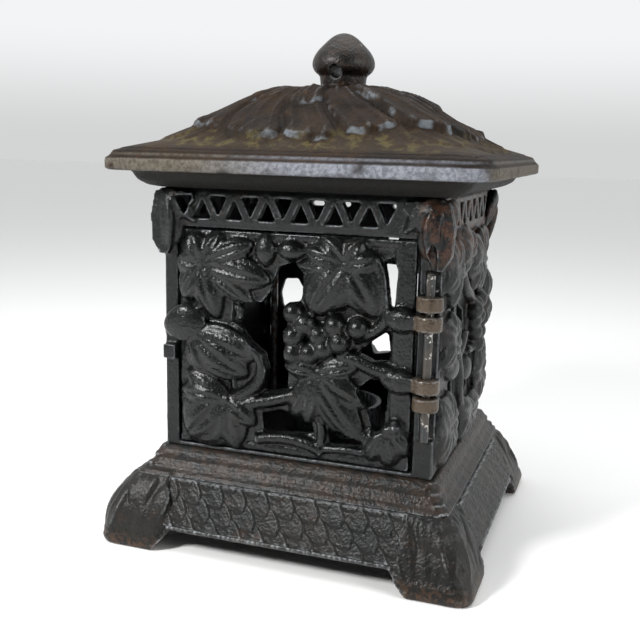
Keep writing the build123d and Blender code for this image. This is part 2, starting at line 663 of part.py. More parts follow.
def washer(x, y, low, radius, height, hole):
    """A flat round washer."""
    return rod(x, y, low, low + height, radius) - rod(x, y, low - 1, low + height + 1, hole)


def finial_screw():
    """Hexagon head screw, from inside the roof up into the finial."""
    head_top = CROWN_BOSS_BOTTOM - FINIAL_WASHER_HEIGHT
    hexagon = RegularPolygon(FINIAL_HEAD, 6)
    head = Pos(0, 0, head_top - FINIAL_HEAD_HEIGHT) * extrude(hexagon, amount=FINIAL_HEAD_HEIGHT)
    return head + rod(0, 0, head_top - 1, FINIAL_SCREW_TOP, FINIAL_SCREW)


def cup_countersink(clearance):
    """The cone that the screw's flat head fills, with the shank's way below it."""
    seat = FLOOR_TOP + CUP_FLOOR
    cone = Pos(0, 0, seat - CUP_HEAD_DEPTH / 2) * Cone(CUP_SCREW, CUP_HEAD, CUP_HEAD_DEPTH)
    return cone + rod(0, 0, CUP_SCREW_BOTTOM, seat - CUP_HEAD_DEPTH / 2, CUP_SCREW + clearance)


def candle_cup():
    """A shallow round cup that keeps the candle on the middle of the floor."""
    cup = rod(0, 0, FLOOR_TOP, FLOOR_TOP + CUP_HEIGHT, CUP_RADIUS)
    inside = rod(0, 0, FLOOR_TOP + CUP_FLOOR, FLOOR_TOP + CUP_HEIGHT + 1, CUP_RADIUS - CUP_WALL)
    return cup - inside - cup_countersink(SCREW_CLEARANCE)


def cup_screw():
    """Flat head screw, level with the cup's floor, down through the plinth's floor."""
    seat = FLOOR_TOP + CUP_FLOOR
    slot = block((-CUP_HEAD, CUP_HEAD), (-SLOT_HALF, SLOT_HALF), (seat - SLOT_DEPTH, seat + 1))
    return cup_countersink(0) - slot


# ---- assembly --------------------------------------------------------------
os.makedirs("parts", exist_ok=True)

washer_bottom = CROWN_BOSS_BOTTOM - FINIAL_WASHER_HEIGHT
nodes = {
    "base_plinth": base_plinth(),
    "front_frame": front_frame(),
    "rear_panel": rear_panel(),
    "right_panel": side_panel(RIGHT, 1, SIDE_DESIGN),
    "left_panel": side_panel(LEFT, -1, LEFT_DESIGN),
    "roof": roof(),
    "finial": finial(),
    "finial_screw": finial_screw(),
    "finial_washer": washer(0, 0, washer_bottom, FINIAL_WASHER, FINIAL_WASHER_HEIGHT, FINIAL_SCREW),
    "door": door(),
    "hinge_pin": hinge_pin(),
    "candle_cup": candle_cup(),
    "cup_screw": cup_screw(),
    "cup_nut": hexagon_nut(0, 0, FLOOR_BOTTOM - CUP_NUT_HEIGHT, CUP_NUT, CUP_NUT_HEIGHT, CUP_SCREW),
}
places = ("front_left", "front_right", "rear_left", "rear_right")
for place, (sx, sy) in zip(places, corners()):
    x = sx * ROD_X
    y = sy * ROD_Y
    washer_low = FLOOR_BOTTOM - WASHER_HEIGHT
    nut_low = washer_low - NUT_HEIGHT
    nodes["tie_rod_" + place] = rod(x, y, ROD_BOTTOM, ROD_TOP, ROD_RADIUS)
    nodes["rod_washer_" + place] = washer(x, y, washer_low, WASHER_RADIUS, WASHER_HEIGHT, ROD_RADIUS)
    nodes["rod_nut_" + place] = hexagon_nut(x, y, nut_low, NUT_RADIUS, NUT_HEIGHT, ROD_RADIUS)

for name, shape in nodes.items():
    export_step(shape, f"parts/{name}.step")
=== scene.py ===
import math
import random

import bpy
from mathutils import Matrix, Vector


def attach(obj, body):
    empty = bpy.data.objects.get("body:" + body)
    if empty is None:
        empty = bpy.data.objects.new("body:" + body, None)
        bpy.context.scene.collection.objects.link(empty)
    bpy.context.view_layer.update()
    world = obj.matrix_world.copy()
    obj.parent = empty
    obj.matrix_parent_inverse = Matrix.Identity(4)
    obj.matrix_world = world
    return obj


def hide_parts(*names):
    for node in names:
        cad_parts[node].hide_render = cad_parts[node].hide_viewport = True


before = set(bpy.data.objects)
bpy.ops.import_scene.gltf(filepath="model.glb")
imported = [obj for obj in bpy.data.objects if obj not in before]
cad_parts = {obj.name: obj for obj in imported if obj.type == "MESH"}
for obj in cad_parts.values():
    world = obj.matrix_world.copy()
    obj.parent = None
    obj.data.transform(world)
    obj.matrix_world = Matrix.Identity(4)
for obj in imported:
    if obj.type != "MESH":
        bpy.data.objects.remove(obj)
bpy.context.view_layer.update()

# A cast iron candle lantern. Lengths are given in millimetres and turned to
# metres by MM. The door faces -Y and its hinge is on the +X side.
MM = 0.001
TURN = 2 * math.pi
X, Y, UP = Vector((1, 0, 0)), Vector((0, 1, 0)), Vector((0, 0, 1))


# ---- small tools --------------------------
def select_only(*objects):
    """Selects these objects and makes the first one active."""
    bpy.ops.object.select_all(action="DESELECT")
    for item in objects:
        item.select_set(True)
    bpy.context.view_layer.objects.active = objects[0]


def added():
    """The primitive that was just added."""
    return bpy.context.object


def join(objects):
    """Joins objects into the first one."""
    select_only(*objects)
    if len(objects) > 1:
        bpy.ops.object.join()
    return added()


def apply(piece, kind, **settings):
    """Adds one modifier and applies it."""
    select_only(piece)
    modifier = piece.modifiers.new(kind.title(), kind)
    for key, value in settings.items():
        setattr(modifier, key, value)
    bpy.ops.object.modifier_apply(modifier=modifier.name)


def vec(*values):
    """A vector from millimetres."""
    return Vector(values) * MM


def bezier(a, b, c, t):
    """A point on a curve from a through b to c."""
    handle = b * 2 - (a + c) / 2
    return a * (1 - t) ** 2 + handle * 2 * t * (1 - t) + c * t ** 2


def lobe(route, outwards, width, height, ribs=3, groove=0.5, sink=3.0, blunt=0.8, full=0.85):
    """One lobe of a leaf: an almond along a route of three points, in metres.

    outwards gives the way up at its two ends, ribs the veins across it, and
    sink how deep it reaches into the plate. A larger blunt moves its widest
    place towards the tip, and a smaller full rounds both ends.
    """
    bpy.ops.mesh.primitive_uv_sphere_add(segments=26, ring_count=16, radius=1)
    piece = added()
    start, middle, end = route
    first, last = outwards
    for vertex in piece.data.vertices:
        x, y, z = vertex.co
        t = (z + 1) / 2
        ring = math.hypot(x, y)
        across = x / ring if ring > 1e-6 else 0.0
        above = y / ring if ring > 1e-6 else 0.0
        swell = max(math.sin(math.pi * t ** blunt), 0.0) ** full
        centre = bezier(start, middle, end, t)
        behind = bezier(start, middle, end, max(t - 0.02, 0.0))
        ahead = bezier(start, middle, end, min(t + 0.02, 1.0)) - behind
        normal = first.lerp(last, t).normalized()
        side = ahead.cross(normal).normalized()
        if above > 0:
            rise = above * height * swell ** 0.7
            rise -= groove * swell * above * math.cos(ribs * math.pi * across)
        else:
            rise = above * sink * swell
        vertex.co = centre + side * (across * width / 2 * swell * MM) + normal * (rise * MM)
    return piece


def vine(points, thick):
    """A branch: a smooth tube through points, in metres, thick at each one."""
    bpy.ops.curve.primitive_nurbs_path_add()
    piece = added()
    curve = piece.data
    curve.splines.remove(curve.splines[0])
    line = curve.splines.new("NURBS")
    line.points.add(len(points) - 1)
    for point, place, width in zip(line.points, points, thick):
        point.co = (*place, 1)
        point.radius = width / 2
    line.order_u = 3
    line.use_endpoint_u = True
    curve.bevel_depth = MM
    curve.bevel_resolution = 3
    curve.use_fill_caps = True
    curve.resolution_u = 6
    select_only(piece)
    bpy.ops.object.convert(target="MESH")
    return added()


def settle():
    """Applies the place and size of the primitive that was just added."""
    bpy.ops.object.transform_apply(location=True, rotation=True, scale=True)
    return added()


def ball(centre, radius, segments=20):
    """A round form such as a grape."""
    bpy.ops.mesh.primitive_uv_sphere_add(
        segments=segments, ring_count=segments // 2, radius=radius * MM, location=centre)
    return settle()


def box(a, low, b, high):
    """The outline of a rectangle from u = a to b and v = low to high."""
    return [(a, low), (b, low), (b, high), (a, high)]


def slab(outline, low, high, place):
    """A plate: an outline of (u, v) points made thick from w = low to high."""
    bpy.ops.mesh.primitive_circle_add(vertices=len(outline), radius=1, fill_type="NGON")
    piece = added()
    for vertex, (u, v) in zip(piece.data.vertices, outline):
        vertex.co = place(u, v, low)
    thick = place(0, 0, high) - place(0, 0, low)
    bpy.ops.object.mode_set(mode="EDIT")
    bpy.ops.mesh.select_all(action="SELECT")
    bpy.ops.mesh.extrude_region_move(TRANSFORM_OT_translate={"value": thick})
    bpy.ops.mesh.select_all(action="SELECT")
    bpy.ops.mesh.normals_make_consistent(inside=False)
    bpy.ops.object.mode_set(mode="OBJECT")
    return piece


def copy_of(node):
    """A merged copy of a CAD node's mesh, to model on."""
    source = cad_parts[node]
    piece = source.copy()
    piece.data = source.data.copy()
    piece.parent = None
    piece.matrix_world = Matrix.Identity(4)
    bpy.context.scene.collection.objects.link(piece)
    piece.data.materials.clear()
    select_only(piece)
    bpy.ops.object.mode_set(mode="EDIT")
    bpy.ops.mesh.select_all(action="SELECT")
    bpy.ops.mesh.remove_doubles(threshold=1e-6)
    bpy.ops.object.mode_set(mode="OBJECT")
    return piece


def fuse(forms, grain):
    """Joins closed forms into one even skin."""
    piece = join(forms)
    apply(piece, "REMESH", mode="VOXEL", voxel_size=grain * MM)
    return piece


def carve(piece, cutters, operation="DIFFERENCE"):
    """Cuts closed forms out of an even skin, or keeps what lies inside them."""
    cutter = join(cutters)
    apply(piece, "BOOLEAN", operation=operation, object=cutter, solver="MANIFOLD")
    bpy.data.objects.remove(cutter)


def cast(name, forms, grain, soften=2, wave=0.12):
    """Runs forms together into one casting, as a sand mould rounds them.

    grain is the remesh step, soften the smoothing rounds, wave the
    height of the slow unevenness of a hand made pattern, in millimetres.
    """
    piece = fuse(forms, grain)
    piece.name = name
    piece.data.name = name
    apply(piece, "SMOOTH", factor=0.5, iterations=soften)
    unevenness = bpy.data.textures.new(name + "_wave", "CLOUDS")
    unevenness.noise_scale = 7 * MM
    strength = wave * 2 * MM
    apply(piece, "DISPLACE", texture=unevenness, texture_coords="LOCAL", strength=strength, mid_level=0.5)
    bpy.ops.object.shade_smooth()
    return piece


def relief(name, columns, rows, place, rise, thick):
    """A closed sheet with raised work on it.

    place gives the ground and its normal for a spot of the grid, whose sides
    run from -1 to 1, and rise the millimetres that it stands out there.
    """
    bpy.ops.mesh.primitive_grid_add(x_subdivisions=columns, y_subdivisions=rows, size=2)
    piece = added()
    for vertex in piece.data.vertices:
        a, b = vertex.co.x, vertex.co.y
        ground, normal = place(a, b)
        vertex.co = ground + normal * (rise(a, b) * MM)
    apply(piece, "SOLIDIFY", thickness=thick * MM, offset=-1)
    piece.name = name
    piece.data.name = name
    bpy.ops.object.shade_smooth()
    return piece


def finish_piece(piece, body, slot, material, node):
    """Gives a piece its material and body, and hides the CAD node it stands for. slot is not used."""
    piece.data.materials.clear()
    piece.data.materials.append(material)
    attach(piece, body)
    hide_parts(node)


# ---- the walls' own frames ----------------
# u runs to the right as seen from outside, v is the height, w points outwards
# from the face of the plate. Each takes millimetres and gives metres.
FACE_X, FACE_Y = 62.1, 57.5


def front(u, v, w):
    """A place on the front wall."""
    return vec(u, -FACE_Y - w, v)


def rear(u, v, w):
    """A place on the rear wall."""
    return vec(-u, FACE_Y + w, v)


def right(u, v, w):
    """A place on the right wall."""
    return vec(FACE_X + w, u, v)


def left(u, v, w):
    """A place on the left wall."""
    return vec(-FACE_X - w, -u, v)


def wall_normal(place):
    """Which way a wall faces."""
    return (place(0, 0, 1) - place(0, 0, 0)).normalized()


# ---- materials ----------------------------
def linear(code):
    """An sRGB hex colour as linear values with full alpha."""
    parts = [int(code[i:i + 2], 16) / 255 for i in (1, 3, 5)]
    return (*[p / 12.92 if p <= 0.04045 else ((p + 0.055) / 1.055) ** 2.4 for p in parts], 1.0)


def feed(tree, node, inputs):
    """Sets a node's inputs, by name or number, to values or to linked sockets."""
    for key, value in inputs.items():
        if isinstance(value, bpy.types.NodeSocket):
            tree.links.new(value, node.inputs[key])
        else:
            node.inputs[key].default_value = value


def add(tree, kind, inputs=None, output=0, **settings):
    """Adds a node with its settings and inputs, and gives back one output."""
    node = tree.nodes.new("ShaderNode" + kind)
    for key, value in settings.items():
        setattr(node, key, value)
    feed(tree, node, inputs or {})
    return node.outputs[output]


def cloudy(place, size, detail=3.0, rough=0.6):
    """What noise with blotches of about size millimetres is given."""
    return {"Vector": place, "Scale": 1 / (size * MM), "Detail": detail, "Roughness": rough}


def mask(tree, *factors):
    """The product of its factors, which are sockets, numbers or fades.

    A fade (value, low, high) is 0 at low, 1 at high and smooth between. Its
    value is a socket or what cloudy() gives.
    """
    product = None
    for factor in factors:
        if isinstance(factor, tuple):
            value, low, high = factor
            if isinstance(value, dict):
                value = add(tree, "TexNoise", value, "Fac")
            factor = add(tree, "MapRange", {"Value": value, "From Min": low, "From Max": high},
                         "Result", interpolation_type="SMOOTHSTEP")
        if product is not None:
            factor = add(tree, "Math", {0: product, 1: factor}, operation="MULTIPLY")
        product = factor
    return product


def lay(tree, under, over, *factors):
    """Lays one colour over another where a mask of the factors allows."""
    return add(tree, "Mix", {0: mask(tree, *factors), 6: under, 7: over}, 2, data_type="RGBA")


def start_material(name):
    """A new material: its tree, its shader and the object coordinates."""
    material = bpy.data.materials.new(name)
    material.use_nodes = True
    tree = material.node_tree
    return material, tree, tree.nodes["Principled BSDF"], add(tree, "TexCoord", output="Object")


def cast_iron(name, colours, rust, wear_and_highlight, metallic, roughness, gloss, coat, tint=None):
    """Old sand cast iron.

    It has a dark satin skin, light grey edges that are partly rubbed iron
    and partly a painted highlight, dust in the hollows and rust blooms. The
    colours are its dark and light skin, the rubbed and highlighted edges,
    the dust and the rust. tint adds what is special to a piece.
    """
    dark, light, worn_and_highlight, dust, rusty = [linear(code) for code in colours]
    material, tree, shader, place = start_material(name)
    edge = add(tree, "NewGeometry", output="Pointiness")
    fine = add(tree, "TexNoise", cloudy(place, 2.2, 5.0, 0.65), "Fac")
    skin = lay(tree, dark, light, (cloudy(place, 22), 0.38, 0.62))
    skin = lay(tree, skin, dust, (edge, 0.495, 0.44), (fine, 0.3, 0.6))
    blooms = (cloudy(place, 9, 6.0, 0.7), 0.60 - 0.22 * rust, 0.72 - 0.16 * rust)
    skin = lay(tree, skin, rusty, blooms, (fine, 0.35, 0.6))
    if tint:
        skin = tint(tree, place, skin, fine)
    # Painted highlight as well as wear: edges found by pointiness are laid in light grey, partly rubbed
    # iron and partly standing in for glints of light.
    skin = lay(tree, skin, worn_and_highlight, (edge, 0.515, 0.575), (fine, 0.34, 0.58), wear_and_highlight)
    uneven = {"Value": fine, "To Min": roughness - 0.12, "To Max": roughness + 0.16}
    grains = add(tree, "TexNoise", cloudy(place, 1.3, 2.0, 0.5), "Fac")
    pits = add(tree, "TexNoise", cloudy(place, 4.0, 4.0, 0.6), "Fac")
    grainy = add(tree, "Bump", {"Strength": 1.0, "Distance": 0.35 * MM, "Height": grains})
    pitted = {"Strength": 0.8, "Distance": 0.5 * MM, "Height": pits, "Normal": grainy}
    feed(tree, shader, {
        "Base Color": skin,
        "Metallic": metallic,
        "Specular IOR Level": gloss,
        "Coat Weight": coat,
        "Coat Roughness": 0.3,
        "Roughness": add(tree, "MapRange", uneven, "Result"),
        "Normal": add(tree, "Bump", pitted),
    })
    return material


def drawn_wire():
    """Iron wire that was painted black and has chipped to bright metal."""
    material, tree, shader, place = start_material("chipped_iron_wire")
    chips = mask(tree, (cloudy(place, 3.5, 4.0, 0.7), 0.56, 0.62))
    paint = lay(tree, linear("#232526"), linear("#3a342d"), (cloudy(place, 8), 0.4, 0.6))
    grain = add(tree, "TexNoise", cloudy(place, 1.2), "Fac")
    feed(tree, shader, {
        "Base Color": lay(tree, paint, linear("#c9c6bf"), chips),
        "Metallic": chips,
        "Roughness": 0.38,
        "Normal": add(tree, "Bump", {"Strength": 0.5, "Distance": 0.2 * MM, "Height": grain}),
    })
    return material


def plated_steel():
    """Zinc plated steel, dulled, for the fastenings inside."""
    material, tree, shader, place = start_material("dull_plated_steel")
    stain = mask(tree, (cloudy(place, 5, 5.0, 0.7), 0.4, 0.65))
    feed(tree, shader, {
        "Base Color": lay(tree, linear("#8d9092"), linear("#5d4a39"), stain),
        "Metallic": 0.8,
        "Roughness": add(tree, "MapRange", {"Value": stain, "To Min": 0.35, "To Max": 0.6}, "Result"),
    })
    return material


def plain_floor():
    """Matt pale paper."""
    material, tree, shader, _ = start_material("pale_paper")
    feed(tree, shader, {"Base Color": linear("#fcfcfb"), "Roughness": 0.9})
    return material


# What the tints fade by, as (none of it, all of it). Heights and places are
# object coordinates in metres, steepness is the upward part of the normal.
ABOVE_RIM, COVE = (0.1765, 0.1785), (0.1672, 0.1664)
OCHRE_HEIGHT, DUST_HEIGHT = (0.188, 0.181), (0.186, 0.179)
RIM_TOP, RIM_FOOT = (0.1752, 0.1742), (0.1668, 0.1676)
RIM_LEFT, RIM_RIGHT = (-0.045, 0.015), (0.0835, 0.079)
# The first slope pair on the next line sets where the leaf ends take their painted highlight.
LEAF_HIGHLIGHT_STEEP, RIM_STEEP = (0.68, 0.4), (0.75, 0.4)
WET_FEET, CAP_HEIGHT = (0.010, 0.001), (0.030, 0.033)
HINGE_ASIDE, HINGE_AHEAD, HINGE_HEIGHT = (0.0525, 0.054), (-0.0600, -0.0612), (0.130, 0.122)
POST_ASIDE, POST_HEIGHT = (0.0525, 0.0545), (0.128, 0.140)


def roof_tint(tree, place, skin, fine):
    """Steep leaf ends get a painted grey highlight, the rim shows grey iron, ochre lies along the slope,
    the cove is dark.
    """
    height = add(tree, "SeparateXYZ", {"Vector": place}, "Z")
    across = add(tree, "SeparateXYZ", {"Vector": place}, "X")
    slope = add(tree, "SeparateXYZ", {"Vector": add(tree, "TexCoord", output="Normal")}, "Z")
    above = mask(tree, (height, *ABOVE_RIM))
    skin = lay(tree, skin, linear("#3d3325"), above, (height, *DUST_HEIGHT), 0.5)
    ochre = (cloudy(place, 7, 5.0, 0.7), 0.5, 0.62)
    skin = lay(tree, skin, linear("#5f5530"), ochre, (height, *OCHRE_HEIGHT), above, 0.5)
    # Painted highlight: steep faces of the leaf ends above the rim are laid in light grey, as where they
    # catch the light.
    leaf_end_highlight = [(slope, *LEAF_HIGHLIGHT_STEEP), above, (fine, 0.25, 0.55), (cloudy(place, 11, 2.0, 0.5), 0.47, 0.62)]
    skin = lay(tree, skin, linear("#6e757b"), *leaf_end_highlight, 0.8)
    middle = mask(tree, (across, *RIM_LEFT), (across, *RIM_RIGHT))
    low_grey = lay(tree, linear("#423c34"), linear("#5c5e65"), middle)
    high_grey = lay(tree, linear("#5f594f"), linear("#84878e"), middle)
    grey = lay(tree, low_grey, high_grey, (cloudy(place, 1.6, 4.0, 0.7), 0.34, 0.66))
    rim = [(height, *RIM_TOP), (height, *RIM_FOOT), (slope, *RIM_STEEP)]
    skin = lay(tree, skin, grey, *rim, (cloudy(place, 16, 2.0, 0.5), 0.26, 0.44))
    return lay(tree, skin, linear("#1b1a19"), (height, *COVE))


def foot_tint(tree, place, skin, fine):
    """The feet are rusted where they stood wet, and the mouldings' edges are brown."""
    height = add(tree, "SeparateXYZ", {"Vector": place}, "Z")
    skin = lay(tree, skin, linear("#463223"), (height, *WET_FEET), (fine, 0.44, 0.56))
    brown = (cloudy(place, 6, 4.0, 0.6), 0.42, 0.6)
    return lay(tree, skin, linear("#35271d"), (height, *CAP_HEIGHT), brown, 0.6)


def hinge_tint(tree, place, skin, fine):
    """Knuckles and the right post have rusted brown."""
    aside, ahead, height = [add(tree, "SeparateXYZ", {"Vector": place}, axis) for axis in "XYZ"]
    hinge = [(aside, *HINGE_ASIDE), (ahead, *HINGE_AHEAD), (height, *HINGE_HEIGHT)]
    skin = lay(tree, skin, linear("#4a3e31"), *hinge, (fine, 0.2, 0.5))
    brown = (cloudy(place, 5, 5.0, 0.7), 0.47, 0.57)
    return lay(tree, skin, linear("#3a261b"), (aside, *POST_ASIDE), (height, *POST_HEIGHT), brown)


# Each iron's edge amount sets how much light grey its edges get, partly wear and partly a painted
# highlight.
WALL_IRON = cast_iron(
    "blackened_cast_iron", ("#0c0d0e", "#141615", "#8d9296", "#201d18", "#2a1f18"),
    rust=0.15, wear_and_highlight=0.6, metallic=0.2, roughness=0.34, gloss=0.35, coat=0.05, tint=hinge_tint)
DOOR_IRON = cast_iron(
    "blackened_door_iron", ("#0a0b0c", "#121413", "#9aa0a4", "#1c1b17", "#241d17"),
    rust=0.05, wear_and_highlight=0.7, metallic=0.25, roughness=0.27, gloss=0.4, coat=0.1, tint=hinge_tint)
ROOF_IRON = cast_iron(
    "rusted_roof_iron", ("#140d07", "#23170d", "#7d7f80", "#100b07", "#30200e"),
    rust=0.5, wear_and_highlight=0.35, metallic=0.0, roughness=0.62, gloss=0.15, coat=0.0, tint=roof_tint)
BASE_IRON = cast_iron(
    "weathered_base_iron", ("#101211", "#1b1a17", "#a2a6a8", "#1c1813", "#2a1e15"),
    rust=0.3, wear_and_highlight=0.65, metallic=0.1, roughness=0.4, gloss=0.32, coat=0.0, tint=foot_tint)
FINIAL_IRON = cast_iron(
    "finial_cast_iron", ("#100c0a", "#21170f", "#8f9294", "#1b140e", "#2e1f14"),
    rust=0.6, wear_and_highlight=0.6, metallic=0.05, roughness=0.38, gloss=0.35, coat=0.0)
PIN_IRON = drawn_wire()
STEEL = plated_steel()


# ---- the vine on each wall ----------------
# A leaf is (centre, [(tip, width), ...]). A vine is (thickness, [points]).
DOOR_LEAVES = [
    ((-43, 128), [((-19, 137.5), 9), ((-11, 122), 12), ((-19, 112), 9), ((-35, 104), 11),
                  ((-53, 112), 11), ((-55, 130), 12), ((-49, 141.5), 10), ((-34, 141.5), 8)]),
    ((23, 131), [((4, 137), 8), ((11, 142), 8), ((30, 142), 9), ((37, 134), 9), ((1, 129.5), 6),
                 ((8, 109), 16), ((19, 112), 10), ((36, 110), 14)]),
    ((-46, 96), [((-18, 87), 13), ((-21, 80), 15), ((-40, 79), 12)]),
    ((-31, 68), [((-51, 79), 9), ((-54, 70), 9), ((-51, 49), 22), ((-38, 46), 14), ((-26, 45.5), 13),
                 ((-17, 58), 10)]),
    ((11, 84), [((-4, 86), 8), ((-1, 64), 10), ((6.5, 61.5), 9), ((32, 56), 13), ((33, 72), 11),
                ((29, 88), 8)]),
    ((43, 63), [((34, 49), 10), ((44, 47), 10), ((51, 52), 8), ((50, 64), 7)]),
]
DOOR_BUDS = [((-13.5, 142), (-13.5, 128), 9.5), ((-8.5, 136), (4.5, 135), 8)]
DOOR_VINES = [
    (6.0, [(-30, 97), (-21, 94), (-14, 88), (-14, 80), (-19, 73), (-29, 68)]),
    (6.5, [(-25, 66), (-10, 69), (2, 73.5)]),
    (4.5, [(35, 135), (40, 124), (41.5, 112), (37, 104), (27, 100)]),
    (4.5, [(40, 109), (45, 111.5), (52, 110.5)]),
    (6.5, [(20, 93), (28, 92), (36, 88), (45, 87), (54, 84.5)]),
    (4.0, [(12, 64), (15, 58), (12, 50)]),
    (5.5, [(-17, 51), (-6, 54), (9, 52), (14, 49)]),
    (4.0, [(12, 50), (22, 52.5), (33, 51)]),
    (4.5, [(-48, 104), (-44, 109), (-40, 111)]),
]
DOOR_GRAPES = [
    (0, 109.5), (5.5, 105), (0.5, 99.5), (11.5, 100.5), (18.5, 105.5), (21, 98.5),
    (28.5, 105), (7.5, 92.5), (0.5, 92), (14, 95),
]
DOOR_HOLES = [
    [(-29, 112), (-30, 103), (-25, 100), (-20, 94), (-14, 90), (-12, 83), (-13.5, 73), (-3, 75),
     (-3, 82), (-4.5, 85), (-2.5, 90), (-3, 96), (-4, 103), (-4, 113), (2, 114), (3.5, 120),
     (3, 126), (-1, 131), (-8, 128), (-12, 117), (-16, 112)],
    [(38.5, 134), (42.5, 135), (44.3, 130), (43.4, 114), (41.8, 114), (40, 127)],
    [(34, 99.5), (41.5, 105), (42.7, 103), (42, 92), (35, 91.5), (28, 94.5)],
    [(29, 79), (34, 83.5), (39, 83.5), (42, 81), (40.5, 62), (36, 60), (33, 70)],
    [(-15, 63), (-6, 65.5), (8, 61.5), (9.5, 56.5), (-8, 55), (-14, 54.5)],
    [(16, 60), (22, 60), (30, 57), (30.5, 53.5), (17, 52.5)],
    [(-45, 107.5), (-41, 108.5), (-38.5, 105), (-43, 101.5)],
    [(-31, 76.5), (-27.5, 77), (-27.5, 72.5), (-30, 71.5)],
]

LEAF_HEIGHT = 3.9
GRAPE_RADIUS = 4.8
# The step of each casting's even skin.
DOOR_GRAIN, FRAME_GRAIN, SIDE_GRAIN, REAR_GRAIN = 0.58, 0.55, 0.65, 0.7
ROOF_GRAIN, FINIAL_GRAIN, CAP_GRAIN, SKIRT_GRAIN = 1.05, 0.45, 0.8, 0.85


def leaf(place, centre, lobes, high, seed):
    """A vine leaf: a lobe from its centre to each tip, and a little boss."""
    chance = random.Random(seed)
    normal = wall_normal(place)
    pieces = []
    for (u, v), width in lobes:
        du, dv = u - centre[0], v - centre[1]
        length = math.hypot(du, dv)
        tall = high * (0.85 + 0.25 * chance.random())
        bend = chance.uniform(-0.06, 0.06)
        start = place(centre[0] - du * 0.12, centre[1] - dv * 0.12, 0.4)
        middle = place(centre[0] + du * 0.5 - dv * bend, centre[1] + dv * 0.5 + du * bend, 0.9)
        end = place(u, v, -0.4 + chance.uniform(0, 1.2))
        ribs = 5 if width > 15 else 3
        groove = 0.45 + 0.025 * min(length, 16)
        route = (start, middle, end)
        pieces.append(lobe(route, (normal, normal), width * 1.3, tall, ribs, groove, blunt=0.9, full=0.65))
    pieces.append(ball(place(centre[0], centre[1], 2.0), 2.4))
    return pieces


def grown(outline, by):
    """A triangle or other outline, moved outwards from its middle."""
    middle = (sum(u for u, _ in outline) / len(outline), sum(v for _, v in outline) / len(outline))
    moved = []
    for point in outline:
        away = math.dist(point, middle)
        moved.append(tuple(m + (p - m) * (1 + by / away) for p, m in zip(point, middle)))
    return moved


def rims(place, triangles):
    """The thin raised edge round each pierced triangle."""
    return [slab(grown(triangle, 2.6), -1.5, 0.6, place) for triangle in triangles]


def openwork(place, outline, thick, design, triangles, grain, seed, extras=()):
    """An openwork casting: plate, leaves, buds, vines and grapes, pierced and trimmed."""
    leaves, buds, vines, grapes, holes = design
    forms = [slab(outline, -thick, -0.9, place), *extras]
    normal = wall_normal(place)
    for number, (centre, lobes) in enumerate(leaves):
        forms += leaf(place, centre, lobes, LEAF_HEIGHT, seed + number)
    for a, b, width in buds:
        middle = place((a[0] + b[0]) / 2, (a[1] + b[1]) / 2, 0.6)
        route = (place(*a, 0), middle, place(*b, 0))
        forms.append(lobe(route, (normal, normal), width, 3.4, 1, 0.1, blunt=1.0, full=0.6))
    for thickness, points in vines:
        last = len(points) - 1
        thick_at = [thickness * (1.0 if 0 < i < last else 0.8) for i in range(last + 1)]
        forms.append(vine([place(u, v, 0.6) for u, v in points], thick_at))
    for number, (u, v) in enumerate(grapes):
        forms.append(ball(place(u, v, 1.2 + 0.6 * (number % 3)), GRAPE_RADIUS))
    piece = fuse(forms + rims(place, triangles), grain)
    carve(piece, [slab(hole, -thick - 6, 9, place) for hole in holes + triangles])
    carve(piece, [slab(outline, -thick - 5, 8, place)], "INTERSECT")
    return piece


HINGE_X, HINGE_Y = 58.8, -60.6
KNUCKLE_RADIUS, BORE_RADIUS = 5.5, 1.95
DOOR_KNUCKLES = ((81.2, 87.4), (107.0, 113.2))
HINGE_LOW, HINGE_HIGH = 52, 142


def round_pin(radius, low, high, sides):
    """A cylinder round the hinge pin's axis."""
    bpy.ops.mesh.primitive_cylinder_add(
        vertices=sides, radius=radius * MM, depth=(high - low) * MM,
        location=vec(HINGE_X, HINGE_Y, (low + high) / 2))
    return settle()


def knuckle(low, high):
    """One knuckle, before its bore is cut."""
    ring = round_pin(KNUCKLE_RADIUS, low, high, 48)
    apply(ring, "BEVEL", width=0.5 * MM, segments=2, limit_method="ANGLE")
    return ring


def pin_hole():
    """What the pin's bore takes out of the knuckles."""
    return round_pin(BORE_RADIUS, HINGE_LOW, HINGE_HIGH, 32)


def door():
    """The door, with its relief, arms, knuckles and thumb tongue."""
    outline = [(-55, 45.4), (51.2, 45.4), (52, 46.4), (52, 141.5), (51, 142.5), (-55, 142.5)]
    flats = [
        slab(box(43.4, 45.6, 51.9, 142.3), -3.6, 0.2, front),
        slab(box(-54.9, 139.8, 51.9, 142.3), -3.6, 0.0, front),
        slab(box(-54.9, 45.6, 51.9, 48.0), -3.6, -0.2, front),
    ]
    design = (DOOR_LEAVES, DOOR_BUDS, DOOR_VINES, DOOR_GRAPES, DOOR_HOLES)
    forms = [openwork(front, outline, 3.8, design, [], DOOR_GRAIN, 11, flats)]
    normal = wall_normal(front)
    tongue = (front(-42, 105, 1.0), front(-49, 101.5, 2.4), front(-61.8, 98.5, 1.6))
    forms.append(lobe(tongue, (normal, normal), 17, 3.0, 1, 0.1, sink=1.6, blunt=1.35, full=0.5))
    for low, high in DOOR_KNUCKLES:
        middle = (low + high) / 2
        forms.append(knuckle(low, high))
        forms.append(slab(box(46.5, low + 0.2, HINGE_X, high - 0.2), 0.6, 5.6, front))
        arm = (front(38, middle + 0.5, 0.5), front(46, middle, 1.5), front(55, middle, 2.0))
        forms.append(lobe(arm, (normal, normal), 11, 4.2, 1, 0.1, blunt=1.3, full=0.6))
    piece = fuse(forms, DOOR_GRAIN)
    carve(piece, [pin_hole()])
    return cast("door", [piece], DOOR_GRAIN, 1)


# ---- the frame round the door -------------
CORNER_TIP = 131.0


